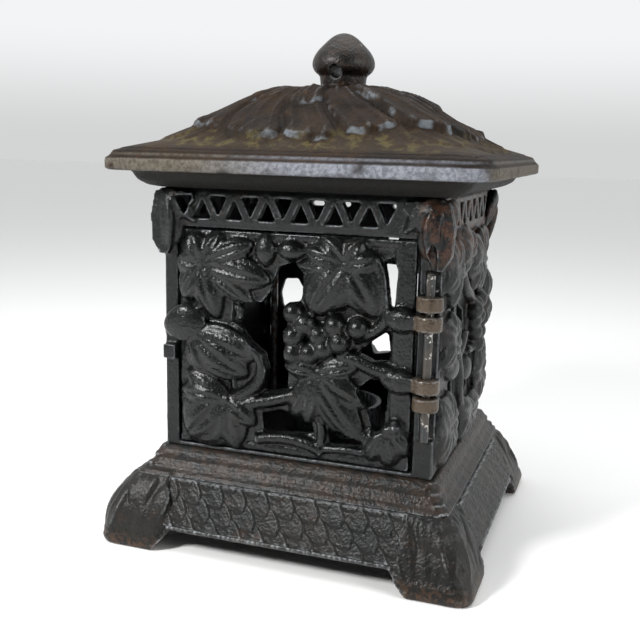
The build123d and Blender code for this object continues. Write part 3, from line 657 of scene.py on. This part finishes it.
def corner_ornament(side, face):
    """The leaf folded over a top corner. side is -1 or 1 along X, face along Y."""
    outward = Vector((0, face, 0))
    aside = Vector((side, 0, 0))
    slanting = (outward + aside).normalized()
    x, y = side * FACE_X, face * FACE_Y

    def across(u, v, w):
        """A point on the face, u from the corner towards the middle."""
        return vec(x - side * u, y + face * w, v)

    def round_side(u, v, w):
        """A point on the side wall, u from the corner."""
        return vec(x + side * w, y - face * u, v)

    pieces = [
        lobe((across(-1.5, 157.5, -0.5), across(6, 153.5, 1.4), across(15.5, 146.5, 0.2)),
             (slanting, outward), 11, 3.0, 3, 0.7, blunt=0.9, full=0.7),
        lobe((across(0, 158, 0), across(1.5, 146, 1.0), across(1.0, CORNER_TIP, -0.5)),
             (slanting, slanting), 15, 3.2, 3, 0.8, sink=4, blunt=0.85, full=0.65),
        lobe((across(5, 150, 0.4), across(6.5, 142, 0.6), across(3.5, 133.5, -0.6)),
             (outward, outward), 7, 2.2, 1, 0.1, blunt=0.8, full=0.7),
        lobe((round_side(-1, 157, 0.3), round_side(5, 152, 1.2), round_side(9.4, 141, -0.2)),
             (slanting, aside), 13, 3.0, 3, 0.7, blunt=0.9, full=0.7),
    ]
    rim = [across(-3, 158, 1.5), across(3, 155.5, 3.2), across(9, 150.5, 3.0), across(15.5, 145.8, 1.0)]
    pieces.append(vine(rim, [2.2, 2.6, 2.6, 1.8]))
    fold = [across(9, 148, 2.2), across(4, 144.5, 3.0), across(1, 139, 3.4)]
    fold.append(across(0.5, CORNER_TIP + 1, 1.4))
    pieces.append(vine(fold, [1.6, 2.2, 2.4, 1.6]))
    return pieces


def front_frame():
    """Posts, sill, frieze, catch and knuckles, with the two corner leaves."""
    triangles = frieze(-51.0, 39.0)
    forms = [copy_of("front_frame")] + rims(front, triangles)
    for side in (-1, 1):
        forms += corner_ornament(side, -1)
    piece = fuse(forms, FRAME_GRAIN)
    carve(piece, [slab(triangle, -10, 9, front) for triangle in triangles] + [pin_hole()])
    return cast("front_frame", [piece], FRAME_GRAIN, 1, 0.06)


# ---- side and rear walls ------------------
FRIEZE_LOW, FRIEZE_HIGH, FRIEZE_PITCH, FRIEZE_HALF = 147.2, 156.8, 15.0, 4.2


def frieze(first, last):
    """Outlines of the pierced triangles, from one down-pointing one to the last."""
    holes, wide = [], FRIEZE_HALF
    steps = round((last - first) / FRIEZE_PITCH)
    for i in range(steps + 1):
        u = first + i * FRIEZE_PITCH
        holes.append([(u - wide, FRIEZE_HIGH), (u, FRIEZE_LOW + 1), (u + wide, FRIEZE_HIGH)])
        if i < steps:
            m = u + FRIEZE_PITCH / 2
            holes.append([(m - wide, FRIEZE_LOW), (m + wide, FRIEZE_LOW), (m, FRIEZE_HIGH - 1)])
    return holes


def fan(centre, tips):
    """A leaf from its tips: each lobe is as wide as the gap to its neighbours."""
    lobes = []
    for i, tip in enumerate(tips):
        before, after = tips[i - 1], tips[(i + 1) % len(tips)]
        gap = (math.dist(tip, before) + math.dist(tip, after)) / 2
        lobes.append((tip, min(max(0.72 * gap, 8.0), 17.0)))
    return centre, lobes


SIDE_LEAVES = [
    fan((-38, 130), [(-52, 142), (-51, 122), (-40, 113), (-28, 116), (-24, 128), (-28, 142), (-40, 144)]),
    fan((-12, 134), [(-27, 143), (-4, 144), (2, 136), (-6, 129), (-28, 130)]),
    fan((20, 128), [(2, 140), (0, 124), (10, 113), (30, 112), (40, 124), (36, 142), (20, 143)]),
    fan((-38, 99), [(-51, 108), (-52, 90), (-40, 86), (-26, 92), (-26, 106), (-38, 112)]),
    fan((-36, 60), [(-52, 76), (-52, 50), (-36, 45), (-20, 47), (-19, 62), (-36, 77)]),
    fan((10, 55), [(-9, 60), (-8, 46), (12, 45), (30, 47), (32, 58), (12, 62)]),
    fan((38, 68), [(28, 86), (24, 70), (36, 52), (52, 56), (52, 76), (44, 88)]),
    fan((46, 105), [(42, 122), (38, 108), (42, 92), (52, 92), (52, 120)]),
]
SIDE_BUDS = [((-41, 85), (-19, 85), 10), ((-6, 78), (12, 78), 12)]
SIDE_VINES = [
    (6.0, [(-16, 126), (-8, 117), (6, 112), (14, 108)]),
    (6.0, [(-20, 90), (-13, 82), (-13, 70), (-4, 61)]),
    (6.0, [(-2, 100), (-8, 92), (-19, 88)]),
    (5.5, [(30, 88), (18, 84), (8, 86)]),
]
SIDE_GRAPES = [
    (17, 106), (24, 108), (31, 105), (14, 99), (21, 100.5), (28, 98.5),
    (18, 93), (25, 92), (10, 105), (34, 98), (22, 86.5),
]
SIDE_HOLES = [
    [(-30, 114), (-21, 115), (-20, 108), (-18, 98), (-20, 95), (-24, 104)],
    [(-15, 112), (-9, 109), (0, 106), (3, 98), (-3, 97), (-10, 98), (-15, 102)],
    [(-7, 72), (4, 69), (16, 72), (20, 66), (12, 63.5), (0, 64.5)],
    [(2, 92), (8, 97), (11, 93), (6, 87.5)],
    [(-19, 78), (-17.5, 66), (-26, 72), (-28, 78)],
    [(32, 119), (36, 117), (37, 109), (33, 110)],
    [(-7, 124), (-1.5, 121.5), (2.5, 116), (-4, 118)],
]
SIDE_DESIGN = (SIDE_LEAVES, SIDE_BUDS, SIDE_VINES, SIDE_GRAPES, SIDE_HOLES)
SIDE_HALF = 53.2

REAR_LEAVES = [
    fan((-34, 126), [(-54, 138), (-50, 114), (-34, 108), (-18, 114), (-14, 130), (-26, 142), (-42, 142)]),
    fan((30, 124), [(12, 138), (18, 108), (34, 106), (50, 112), (54, 134), (32, 142)]),
    fan((-36, 72), [(-54, 88), (-52, 58), (-40, 48), (-22, 50), (-18, 72), (-30, 90)]),
    fan((34, 66), [(18, 82), (16, 56), (30, 46), (50, 48), (54, 72), (42, 86)]),
    fan((-2, 60), [(-13, 70), (-12, 50), (2, 46), (12, 52), (10, 70)]),
]
REAR_BUDS = [((-8, 134), (8, 134), 13)]
REAR_VINES = [
    (6.0, [(-22, 122), (-10, 122), (2, 118), (18, 120)]),
    (6.0, [(-36, 91), (-26, 88), (-20, 80), (-17, 68)]),
    (6.0, [(14, 96), (26, 93), (34, 90)]),
    (5.0, [(18, 80), (14, 88), (14, 96)]),
]
REAR_GRAPES = [
    (-2, 110), (4, 106), (10, 110), (1, 101), (8, 99), (-2, 94), (4, 92), (11, 92), (2, 85), (9, 85),
]
REAR_HOLES = [
    [(37.5, 91), (49.5, 90), (51, 98), (48.5, 106), (41, 106.5), (37, 100)],
    [(-50, 107), (-38, 104), (-31, 103), (-31, 94.5), (-48, 94.5)],
    [(-27, 114), (-19, 117.5), (-9, 118), (-7, 108), (-9, 97), (-16, 94), (-27, 100)],
    [(15.5, 112), (19, 114), (22, 104), (17, 99.5), (14.5, 104)],
    [(-13.5, 70), (-12, 80), (-4, 81), (-2.5, 74), (-4, 68)],
    [(4, 78.5), (13, 80), (16, 72), (12, 71), (5, 71)],
    [(-16, 134), (-10, 136), (-10, 127), (-14, 125.5)],
    [(22, 88.5), (31, 86.5), (36, 84), (26, 81)],
]


WALL_LOW, WALL_HIGH = 43.0, 160.0
FIELD_HIGH, BAND_LOW = 146.0, 144.0    # top of the vine's field, foot of the frieze's band
WALL_THICK, BORDER_BACK = 4.2, -3.9


def border(place, half, low, high, width):
    """Flat strips round a wall, level with its face."""
    strips = [
        box(-half, low, -half + width, high),
        box(half - width, low, half, high),
        box(-half, low, half, low + width),
        box(-half, high - width, half, high),
    ]
    return [slab(strip, BORDER_BACK, 0.0, place) for strip in strips]


def wall(place, half, width, design, grain, seed):
    """A side or rear casting, with a border of this width round its vine."""
    edges = border(place, half, WALL_LOW, FIELD_HIGH, width) + border(place, half, BAND_LOW, WALL_HIGH, 2.6)
    outline = box(-half, WALL_LOW, half, WALL_HIGH)
    return openwork(place, outline, WALL_THICK, design, frieze(-37.5, 37.5), grain, seed, edges)


def flipped(design):
    """A wall's design with left and right changed over."""
    leaves, buds, vines, grapes, holes = design
    return (
        [((-c[0], c[1]), [((-u, v), width) for (u, v), width in lobes]) for c, lobes in leaves],
        [((-a[0], a[1]), (-b[0], b[1]), width) for a, b, width in buds],
        [(thick, [(-u, v) for u, v in points]) for thick, points in vines],
        [(-u, v) for u, v in grapes],
        [[(-u, v) for u, v in reversed(hole)] for hole in holes],
    )


def left_design():
    """The right wall's design changed over, with two smaller leaves and four more gaps."""
    leaves, buds, vines, grapes, holes = flipped(SIDE_DESIGN)
    leaves[5] = fan((-22, 53), [(-32, 47), (-31, 58), (-22, 62), (-15, 56), (-16, 47)])
    leaves.append(fan((4, 53), [(-3, 47), (-2, 59), (6, 61), (12, 55), (10, 46)]))
    grapes = [grape for grape in grapes if grape not in ((-14, 99), (-18, 93))]
    holes += [
        [(-19, 98), (-9, 99.5), (-6.5, 93), (-9, 89.5), (-17, 88)],
        [(-13, 51), (-5, 51), (-4.5, 58), (-11, 59)],
        [(-52, 89.5), (-47.5, 90), (-47.5, 95), (-52, 95)],
        [(-52, 74.5), (-46.5, 75), (-46.5, 79), (-52, 79)],
    ]
    return leaves, buds, vines, grapes, holes


def side_wall(name, place, design, seed):
    """A side casting, between the front and the rear ones."""
    return cast(name, [wall(place, SIDE_HALF, 3.0, design, SIDE_GRAIN, seed)], SIDE_GRAIN)


def rear_wall():
    """The rear casting, the full width of the body, with its two corner leaves."""
    design = (REAR_LEAVES, REAR_BUDS, REAR_VINES, REAR_GRAPES, REAR_HOLES)
    forms = [wall(rear, FACE_X, 6.0, design, REAR_GRAIN, 51)]
    for side in (-1, 1):
        forms += corner_ornament(side, 1)
    return cast("rear_panel", forms, REAR_GRAIN)


# ---- roof ---------------------------------
def touch(node, start, towards):
    """Where a line from start first meets a CAD node, and the normal there."""
    _, place, normal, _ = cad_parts[node].ray_cast(start, towards.normalized())
    return place, normal


def on_roof(x, y):
    """The roof's surface and its normal above a spot."""
    return touch("roof", vec(x, y, 300), -UP)


SHEET_X, SHEET_Y = 81.4, 76.6  # half size of the leafy sheet on the roof
OVAL_X, OVAL_Y = 65.0, 60.0    # where the big leaves end
SQUARENESS = 3.2               # of that oval: 2 would be an ellipse
UNDER_FINIAL = 8.0             # the finial's foot hides the sheet within this radius
CROWN = 204.0
NECK = (11.0, 17.0)            # the leaves rise from nothing between these radii
# A ring of leaves: their number, where they start and end, how much their ends
# vary, their height, how far they swirl and how much their sides fall short.
BIG_RING = (15, 0.12, 0.99, 0.09, 3.2, 0.5, 0.07)
SMALL_RING = (11, 0.10, 0.66, 0.16, 1.0, 0.2, 0.12)
FRINGE_RING = (22, 0.7, 1.2, 0.03, 0.8, 0.0, 0.05)


def smooth(value, low, high):
    """0 at low, 1 at high, smooth between."""
    t = min(max((value - low) / (high - low), 0.0), 1.0)
    return t * t * (3 - 2 * t)


def leaf_ring(angle, reach, ring, chances):
    """How far a ring of overlapping leaves stands up at an angle and a reach."""
    count, start, end, spread, tall, swirl, droop = ring
    turn = (angle + swirl * (1 - reach)) / TURN * count
    number = int(math.floor(turn)) % count
    across = 2 * (turn % 1.0) - 1
    luck, other = chances[number]
    tip = end + spread * (luck - 0.5) - droop * across * across * (0.7 + 0.6 * other)
    body = smooth(reach, start, start + 0.35) * (1 - smooth(reach, tip - 0.035, tip + 0.012))
    round_over = 1 - 0.45 * abs(across) ** 3
    high = tall * (0.7 + 0.6 * other) * (0.55 + 0.45 * reach)
    veins = 0.32 * math.cos(3 * math.pi * across + luck) + 0.16 * math.cos(7 * math.pi * across + 3 * other)
    crease = 1.3 * math.exp(-((1 - abs(across)) / 0.15) ** 2)
    swing = 0.4 * math.sin(8 * reach + 6 * luck)
    return body * (high * round_over + veins + swing - crease)


def roof_leaves():
    """Leaves that spread from the finial over the dome, ending steeply above a thin fringe."""
    chance = random.Random(7)
    rings = []
    for ring in (BIG_RING, SMALL_RING, FRINGE_RING):
        rings.append((ring, [(chance.random(), chance.random()) for _ in range(ring[0])]))
    big_ring, small_ring, fringe_ring = rings

    def place(a, b):
        rounding = 5.4 * abs(a * b) ** 8
        x, y = a * (SHEET_X - rounding), b * (SHEET_Y - rounding)
        if math.hypot(x, y) < UNDER_FINIAL:
            return vec(x, y, CROWN), UP
        return on_roof(x, y)

    def rise(a, b):
        x, y = a * SHEET_X / OVAL_X, b * SHEET_Y / OVAL_Y
        reach = (abs(x) ** SQUARENESS + abs(y) ** SQUARENESS) ** (1 / SQUARENESS)
        angle = (math.atan2(y, x) + 0.02 * math.sin(11 * reach + 3 * math.atan2(y, x))) % TURN
        big = leaf_ring(angle, reach, *big_ring)
        small = leaf_ring((angle + 0.2) % TURN, reach, *small_ring)
        fringe = leaf_ring(angle, reach, *fringe_ring)
        neck = smooth(math.hypot(a * SHEET_X, b * SHEET_Y), *NECK)
        leaves = (max(big, 0.0) + max(small, 0.0) + max(fringe, 0.0) * 0.8) * neck
        return leaves + 0.25 - 1.2 * smooth(max(abs(a), abs(b)), 0.955, 0.99)

    return relief("roof_leaves", 205, 193, place, rise, 1.6)


def roof_shell():
    """The dome, stepped rim and cove under the leaves."""
    return cast("roof", [copy_of("roof")], ROOF_GRAIN, 1, 0.1)


# ---- finial -------------------------------
SEPALS = 6
SEAM = [(1.2, 230.2), (6.0, 228.3), (9.8, 224.9), (12.8, 221.4), (14.6, 217.2), (13.6, 213.8)]
SEAM_THICK = [2.0, 3.0, 3.8, 4.0, 3.6, 1.6]


def outwards_at(degrees):
    """The level direction at an angle round the lantern's axis."""
    return Vector((math.cos(math.radians(degrees)), math.sin(math.radians(degrees)), 0))


def finial():
    """A bud with broad sepals over its crown and a hole through its neck."""
    forms, seams = [copy_of("finial")], []
    for i in range(SEPALS):
        out = outwards_at(60 * i + 20)
        route = [vec(0, 0, z) + out * r * MM for r, z in ((2.5, 228.6), (8.4, 224.0), (12.4, 214.5))]
        forms.append(lobe(route, ((UP + out).normalized(), out), 13, 0.8, 1, 0.1, 4.0, 1.7, 0.75))
    piece = fuse(forms, FINIAL_GRAIN)
    for i in range(SEPALS):
        out = outwards_at(60 * i + 50)
        seams.append(vine([vec(0, 0, z) + out * r * MM for r, z in SEAM], SEAM_THICK))
    carve(piece, seams)
    return cast("finial", [piece], FINIAL_GRAIN, 1, 0.08)


# ---- plinth -------------------------------
SKIRT_LOW = 10.0                     # height of the skirt's lower edge between the feet
SKIRT_RISE = Vector((0.436, 0.900))  # inwards and upwards along the slope
SKIRT_HALF_X, SKIRT_HALF_Y = 82.2, 77.4
SKIRT_SPLIT = 31.0                   # height where the cap meets the skirt


def skirt(along, out, half):
    """The frame of one sloping face: u to the right, v up the slope, w outwards."""
    def place(u, v, w):
        reach = half - SKIRT_RISE.x * v + SKIRT_RISE.y * w
        return (along * u + out * reach + UP * (SKIRT_LOW + SKIRT_RISE.y * v + SKIRT_RISE.x * w)) * MM
    return place


# Each face of the skirt: its frame, half the length of its scales, and a foot's place.
SKIRTS = [
    (skirt(X, -Y, SKIRT_HALF_Y), 50.0, 70.0),
    (skirt(Y, X, SKIRT_HALF_X), 44.0, 65.0),
    (skirt(-X, Y, SKIRT_HALF_Y), 50.0, 70.0),
    (skirt(-Y, -X, SKIRT_HALF_X), 44.0, 65.0),
]
SCALE_PITCH, SCALE_ROW = 11.0, 7.6
SCALE_LONG, SCALE_WIDE = 8.8, 5.2    # half sizes of one scale
DIAGONAL = 0.707
SCALES_LOW, SCALES_HIGH = 1.6, 23.4  # the scaled band, measured up the slope
SCALE_STEP = 0.5                     # of the sheet's grid
BEAD_PITCH, BEAD_RADIUS = 2.3, 1.15


def scale_rise(u, v, luck):
    """Slanting overlapping scales in staggered rows: the rise at (u, v) on a skirt."""
    best = 0.0
    row_here = int(v // SCALE_ROW)
    for row in range(row_here - 2, row_here + 3):
        shift = row * SCALE_PITCH * 0.5
        column_here = round((u - shift) / SCALE_PITCH)
        for column in range(column_here - 2, column_here + 3):
            chance = luck[(row * 7 + column) % len(luck)]
            du = u - (column * SCALE_PITCH + shift) - 0.8 * (chance - 0.5)
            dv = v - (row + 0.5) * SCALE_ROW - 0.6 * (chance - 0.5)
            ahead = (du - dv) * DIAGONAL
            aside = (du + dv) * DIAGONAL
            inside = 1 - (abs(ahead) / SCALE_LONG) ** 1.7 - (abs(aside) / SCALE_WIDE) ** 1.7
            if inside > 0:
                lift = 0.1 + 0.9 * (ahead / SCALE_LONG + 1) / 2 + 0.95 * (aside / SCALE_WIDE + 1) / 2
                lift += 0.3 * (chance - 0.5)
                vein = 0.14 * math.exp(-(aside / 0.8) ** 2)
                best = max(best, (lift + vein) * min(inside * 4.5, 1.0) ** 0.5)
    return best


def scales(skirt_place, half):
    """The sheet of scales on one sloping face, sunk at its edges."""
    luck = [random.Random(int(half) + i).random() for i in range(31)]
    normal = wall_normal(skirt_place)
    middle, tall = (SCALES_LOW + SCALES_HIGH) / 2, (SCALES_HIGH - SCALES_LOW) / 2

    def place(a, b):
        return skirt_place(a * half, middle + b * tall, 0.0), normal

    def rise(a, b):
        sunk = smooth(abs(a), 0.97, 1.0) + smooth(abs(b), 0.93, 1.0)
        return scale_rise(a * half, middle + b * tall, luck) + 0.1 - 1.2 * min(sunk, 1.0)

    columns, rows = int(2 * half / SCALE_STEP), int(2 * tall / SCALE_STEP)
    return relief("skirt_scales", columns, rows, place, rise, 1.2)


def edge_beads(place, half):
    """A thin roll with small beads along the skirt's lower edge."""
    forms = [vine([place(-half, 1.0, 0.3), place(0, 1.0, 0.3), place(half, 1.0, 0.3)], [2.0, 2.0, 2.0])]
    for i in range(int(2 * half / BEAD_PITCH)):
        forms.append(ball(place(-half + i * BEAD_PITCH, 1.4, 0.8), BEAD_RADIUS, segments=8))
    return forms


def palmette(place, corner, side, chance):
    """The leaf on one face of a foot. side is 1 for the foot on the face's right."""
    normal = wall_normal(place)

    def at(u, v, w=0.0):
        """A spot on the plinth's surface, u from its corner."""
        spot, _ = touch("base_plinth", place(side * (corner - u), v, 80), -normal)
        return spot + normal * w * MM

    def blade(places, width, height, ribs=1, groove=0.1, full=0.65):
        route = [at(*spot) for spot in places]
        return lobe(route, (normal, normal), width, height, ribs, groove, 2.0, 1.0, full)

    forms = []
    for i in range(4):
        lean = chance.uniform(-0.4, 0.4)
        places = [(3.0 + 4.4 * i + lean, 24.0 - 0.7 * i, 0.2), (6.0 + 2.9 * i, 17), (7.5 + 1.9 * i, 8.5)]
        forms.append(blade(places, 4.2, 1.7))
    forms.append(blade([(11, 13.5, -0.6), (9.5, 4, -0.3), (8, -6.5, -1.4)], 19, 1.2, 3, 0.3, 0.5))
    forms.append(blade([(3.5, 15), (2.5, 5), (3.0, -6.5, -1.2)], 8, 1.2))
    forms.append(blade([(21.5, 20), (21, 10), (15.5, -4, -0.8)], 8.0, 1.5, 1, 0.2))
    rim = [at(24.5, 17), at(24.5, 9, 0.2), at(22, 0), at(18.5, -7.5, -0.6)]
    forms.append(vine(rim, [1.6, 2.4, 2.6, 2.0]))
    return forms


def foot_corner(sx, sy):
    """The broad lobe down the corner of a foot."""
    spots = []
    for z in (31.0, 18.0, 4.0):
        inward = Vector((-sx, -sy, 0))
        spots.append(touch("base_plinth", vec(sx * 160, sy * 155, z), inward)[0])
    away = Vector((sx, sy, 0.6)).normalized()
    route = [spots[0] - away * 0.6 * MM, spots[1] - away * 0.4 * MM, spots[2] - away * 1.6 * MM]
    return [lobe(route, (away, away), 13, 1.4, 3, 0.5, 3.0, 1.1, 0.6)]


def plinth_part(low, high):
    """The part of the CAD plinth between two heights."""
    piece = copy_of("base_plinth")
    bpy.ops.mesh.primitive_cube_add(size=1, location=vec(0, 0, (low + high) / 2))
    bpy.ops.transform.resize(value=vec(400, 400, high - low))
    cutter = settle()
    apply(piece, "BOOLEAN", operation="INTERSECT", object=cutter, solver="EXACT")
    bpy.data.objects.remove(cutter)
    return piece


# The cap's rolls: half width, height, thickness.
CAP_ROLLS = [(70.9, 31.9, 1.8), (68.9, 34.4, 2.4), (66.6, 38.3, 2.2), (64.4, 41.9, 1.8)]
DEPTH_LESS = 4.8  # the plinth is this much shallower per side along Y


def roll(half, height, thick):
    """A rounded moulding round the cap."""
    hx, hy, bend = half, half - DEPTH_LESS, 5.0
    spots = []
    for sx, sy in ((-1, -1), (1, -1), (1, 1), (-1, 1)):
        along = [(sx * hx, sy * (hy - bend)), (sx * (hx - 1), sy * (hy - 1)), (sx * (hx - bend), sy * hy)]
        spots += along if sx * sy < 0 else along[::-1]
    spots = spots[::-1]
    spots.append(spots[0])
    return vine([vec(x, y, height) for x, y in spots], [thick] * len(spots))


def plinth_cap():
    """The stepped mouldings and the floor."""
    forms = [plinth_part(SKIRT_SPLIT, 60)] + [roll(*sizes) for sizes in CAP_ROLLS]
    return cast("plinth_cap", forms, CAP_GRAIN, 1, 0.15)


def plinth_skirt():
    """The sloping skirt with its beaded edge, and the four feet."""
    forms = [plinth_part(-5, SKIRT_SPLIT + 0.4)]
    chance = random.Random(5)
    for place, half, corner in SKIRTS:
        forms += edge_beads(place, half + 1)
        for side in (-1, 1):
            forms += palmette(place, corner + 7, side, chance)
    for sx in (-1, 1):
        for sy in (-1, 1):
            forms += foot_corner(sx, sy)
    return cast("plinth_skirt", forms, SKIRT_GRAIN, 1, 0.12)


def skirt_scales():
    """The scales of all four faces."""
    sheets = [scales(place, half + 5) for place, half, _ in SKIRTS]
    piece = join(sheets)
    piece.name = "skirt_scales"
    piece.data.name = "skirt_scales"
    return piece


castings = [
    (door(), "door", "door_iron", DOOR_IRON, "door"),
    (front_frame(), "lantern", "wall_iron", WALL_IRON, "front_frame"),
    (side_wall("right_panel", right, SIDE_DESIGN, 21), "lantern", "wall_iron", WALL_IRON, "right_panel"),
    (side_wall("left_panel", left, left_design(), 31), "lantern", "wall_iron", WALL_IRON, "left_panel"),
    (rear_wall(), "lantern", "wall_iron", WALL_IRON, "rear_panel"),
    (roof_shell(), "lantern", "roof_iron", ROOF_IRON, "roof"),
    (roof_leaves(), "lantern", "roof_iron", ROOF_IRON, "roof"),
    (finial(), "lantern", "finial_iron", FINIAL_IRON, "finial"),
    (plinth_cap(), "lantern", "base_iron", BASE_IRON, "base_plinth"),
    (plinth_skirt(), "lantern", "base_iron", BASE_IRON, "base_plinth"),
    (skirt_scales(), "lantern", "base_iron", BASE_IRON, "base_plinth"),
]
for piece, body, slot, material, node in castings:
    finish_piece(piece, body, slot, material, node)

for name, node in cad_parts.items():
    node.material_slots[0].link = "OBJECT"
    node.material_slots[0].material = {"hinge_pin": PIN_IRON, "candle_cup": WALL_IRON}.get(name, STEEL)


# ---- camera, light and floor --------------
CAMERA_YAW = math.radians(19.28)      # round to the right of the front
CAMERA_PITCH = math.radians(10.98)    # above the horizon
CAMERA_ROLL = math.radians(1.33)
CAMERA_DISTANCE = 456.3
CAMERA_ASIDE = -8.2
CAMERA_RAISED = 94.0
CAMERA_LENS = 50.6
ROOM_FRONT = "#232426"
ROOM_BACK = "#f3f4f5"
ROOM_LOW = "#d3d4d4"                  # near the floor, so that no edge shows where it ends
FLOOR_SIZE = 12
# Each soft box: name, place, size and power, in metres and watts.
LIGHTS = [
    ("overhead", (0.0, 0.05, 0.9), 0.8, 3),
    ("key", (-0.30, -0.50, 0.46), 0.14, 4.8),
    ("right_side", (0.75, -0.25, 0.35), 0.3, 2.2),
]


def make_camera():
    """The camera, which stands at the right of the lantern's front."""
    a, e, r = CAMERA_YAW, CAMERA_PITCH, CAMERA_ROLL
    back = Vector((math.sin(a) * math.cos(e), -math.cos(a) * math.cos(e), math.sin(e)))
    across = Vector((math.cos(a), math.sin(a), 0))
    upward = back.cross(across)
    x_axis = across * math.cos(r) + upward * math.sin(r)
    y_axis = upward * math.cos(r) - across * math.sin(r)
    bpy.ops.object.camera_add()
    camera = added()
    camera.name = "camera"
    turn = Matrix((x_axis, y_axis, back)).transposed().to_4x4()
    place = (back * CAMERA_DISTANCE + across * CAMERA_ASIDE + upward * CAMERA_RAISED) * MM
    camera.matrix_world = Matrix.Translation(place) @ turn
    camera.data.lens = CAMERA_LENS
    camera.data.sensor_width = 36
    camera.data.clip_start = 0.01
    bpy.context.scene.camera = camera


def soft_light(name, place, size, power):
    """A square soft box that looks at the middle of the lantern."""
    bpy.ops.object.light_add(type="AREA", location=place)
    lamp = added()
    lamp.name = name
    lamp.data.size = size
    lamp.data.energy = power
    aim = Vector((0, 0, 0.11)) - Vector(place)
    lamp.rotation_euler = aim.to_track_quat("-Z", "Y").to_euler()


def make_room():
    """A room that is bright behind and above the lantern and darker in front of it.

    What shows past the floor's far edge is plain and pale from every side.
    """
    world = bpy.data.worlds.new("soft_room")
    bpy.context.scene.world = world
    world.use_nodes = True
    tree = world.node_tree
    way = add(tree, "TexCoord", output="Generated")
    depth, height = [add(tree, "SeparateXYZ", {"Vector": way}, axis) for axis in "YZ"]
    room = lay(tree, linear(ROOM_FRONT), linear(ROOM_BACK), (depth, -0.7, 0.05))
    backdrop = lay(tree, linear(ROOM_LOW), linear(ROOM_BACK), (height, 0.0, 0.12))
    seen = add(tree, "LightPath", output="Is Camera Ray")
    feed(tree, tree.nodes["Background"], {"Color": lay(tree, room, backdrop, seen)})
    bpy.context.scene.view_settings.view_transform = "Standard"


def make_stage():
    """The floor, the room and three soft boxes."""
    bpy.ops.mesh.primitive_plane_add(size=FLOOR_SIZE)
    floor = added()
    floor.name = "floor"
    floor.data.materials.append(plain_floor())
    make_room()
    for name, place, size, power in LIGHTS:
        soft_light(name, place, size, power)


make_camera()
make_stage()
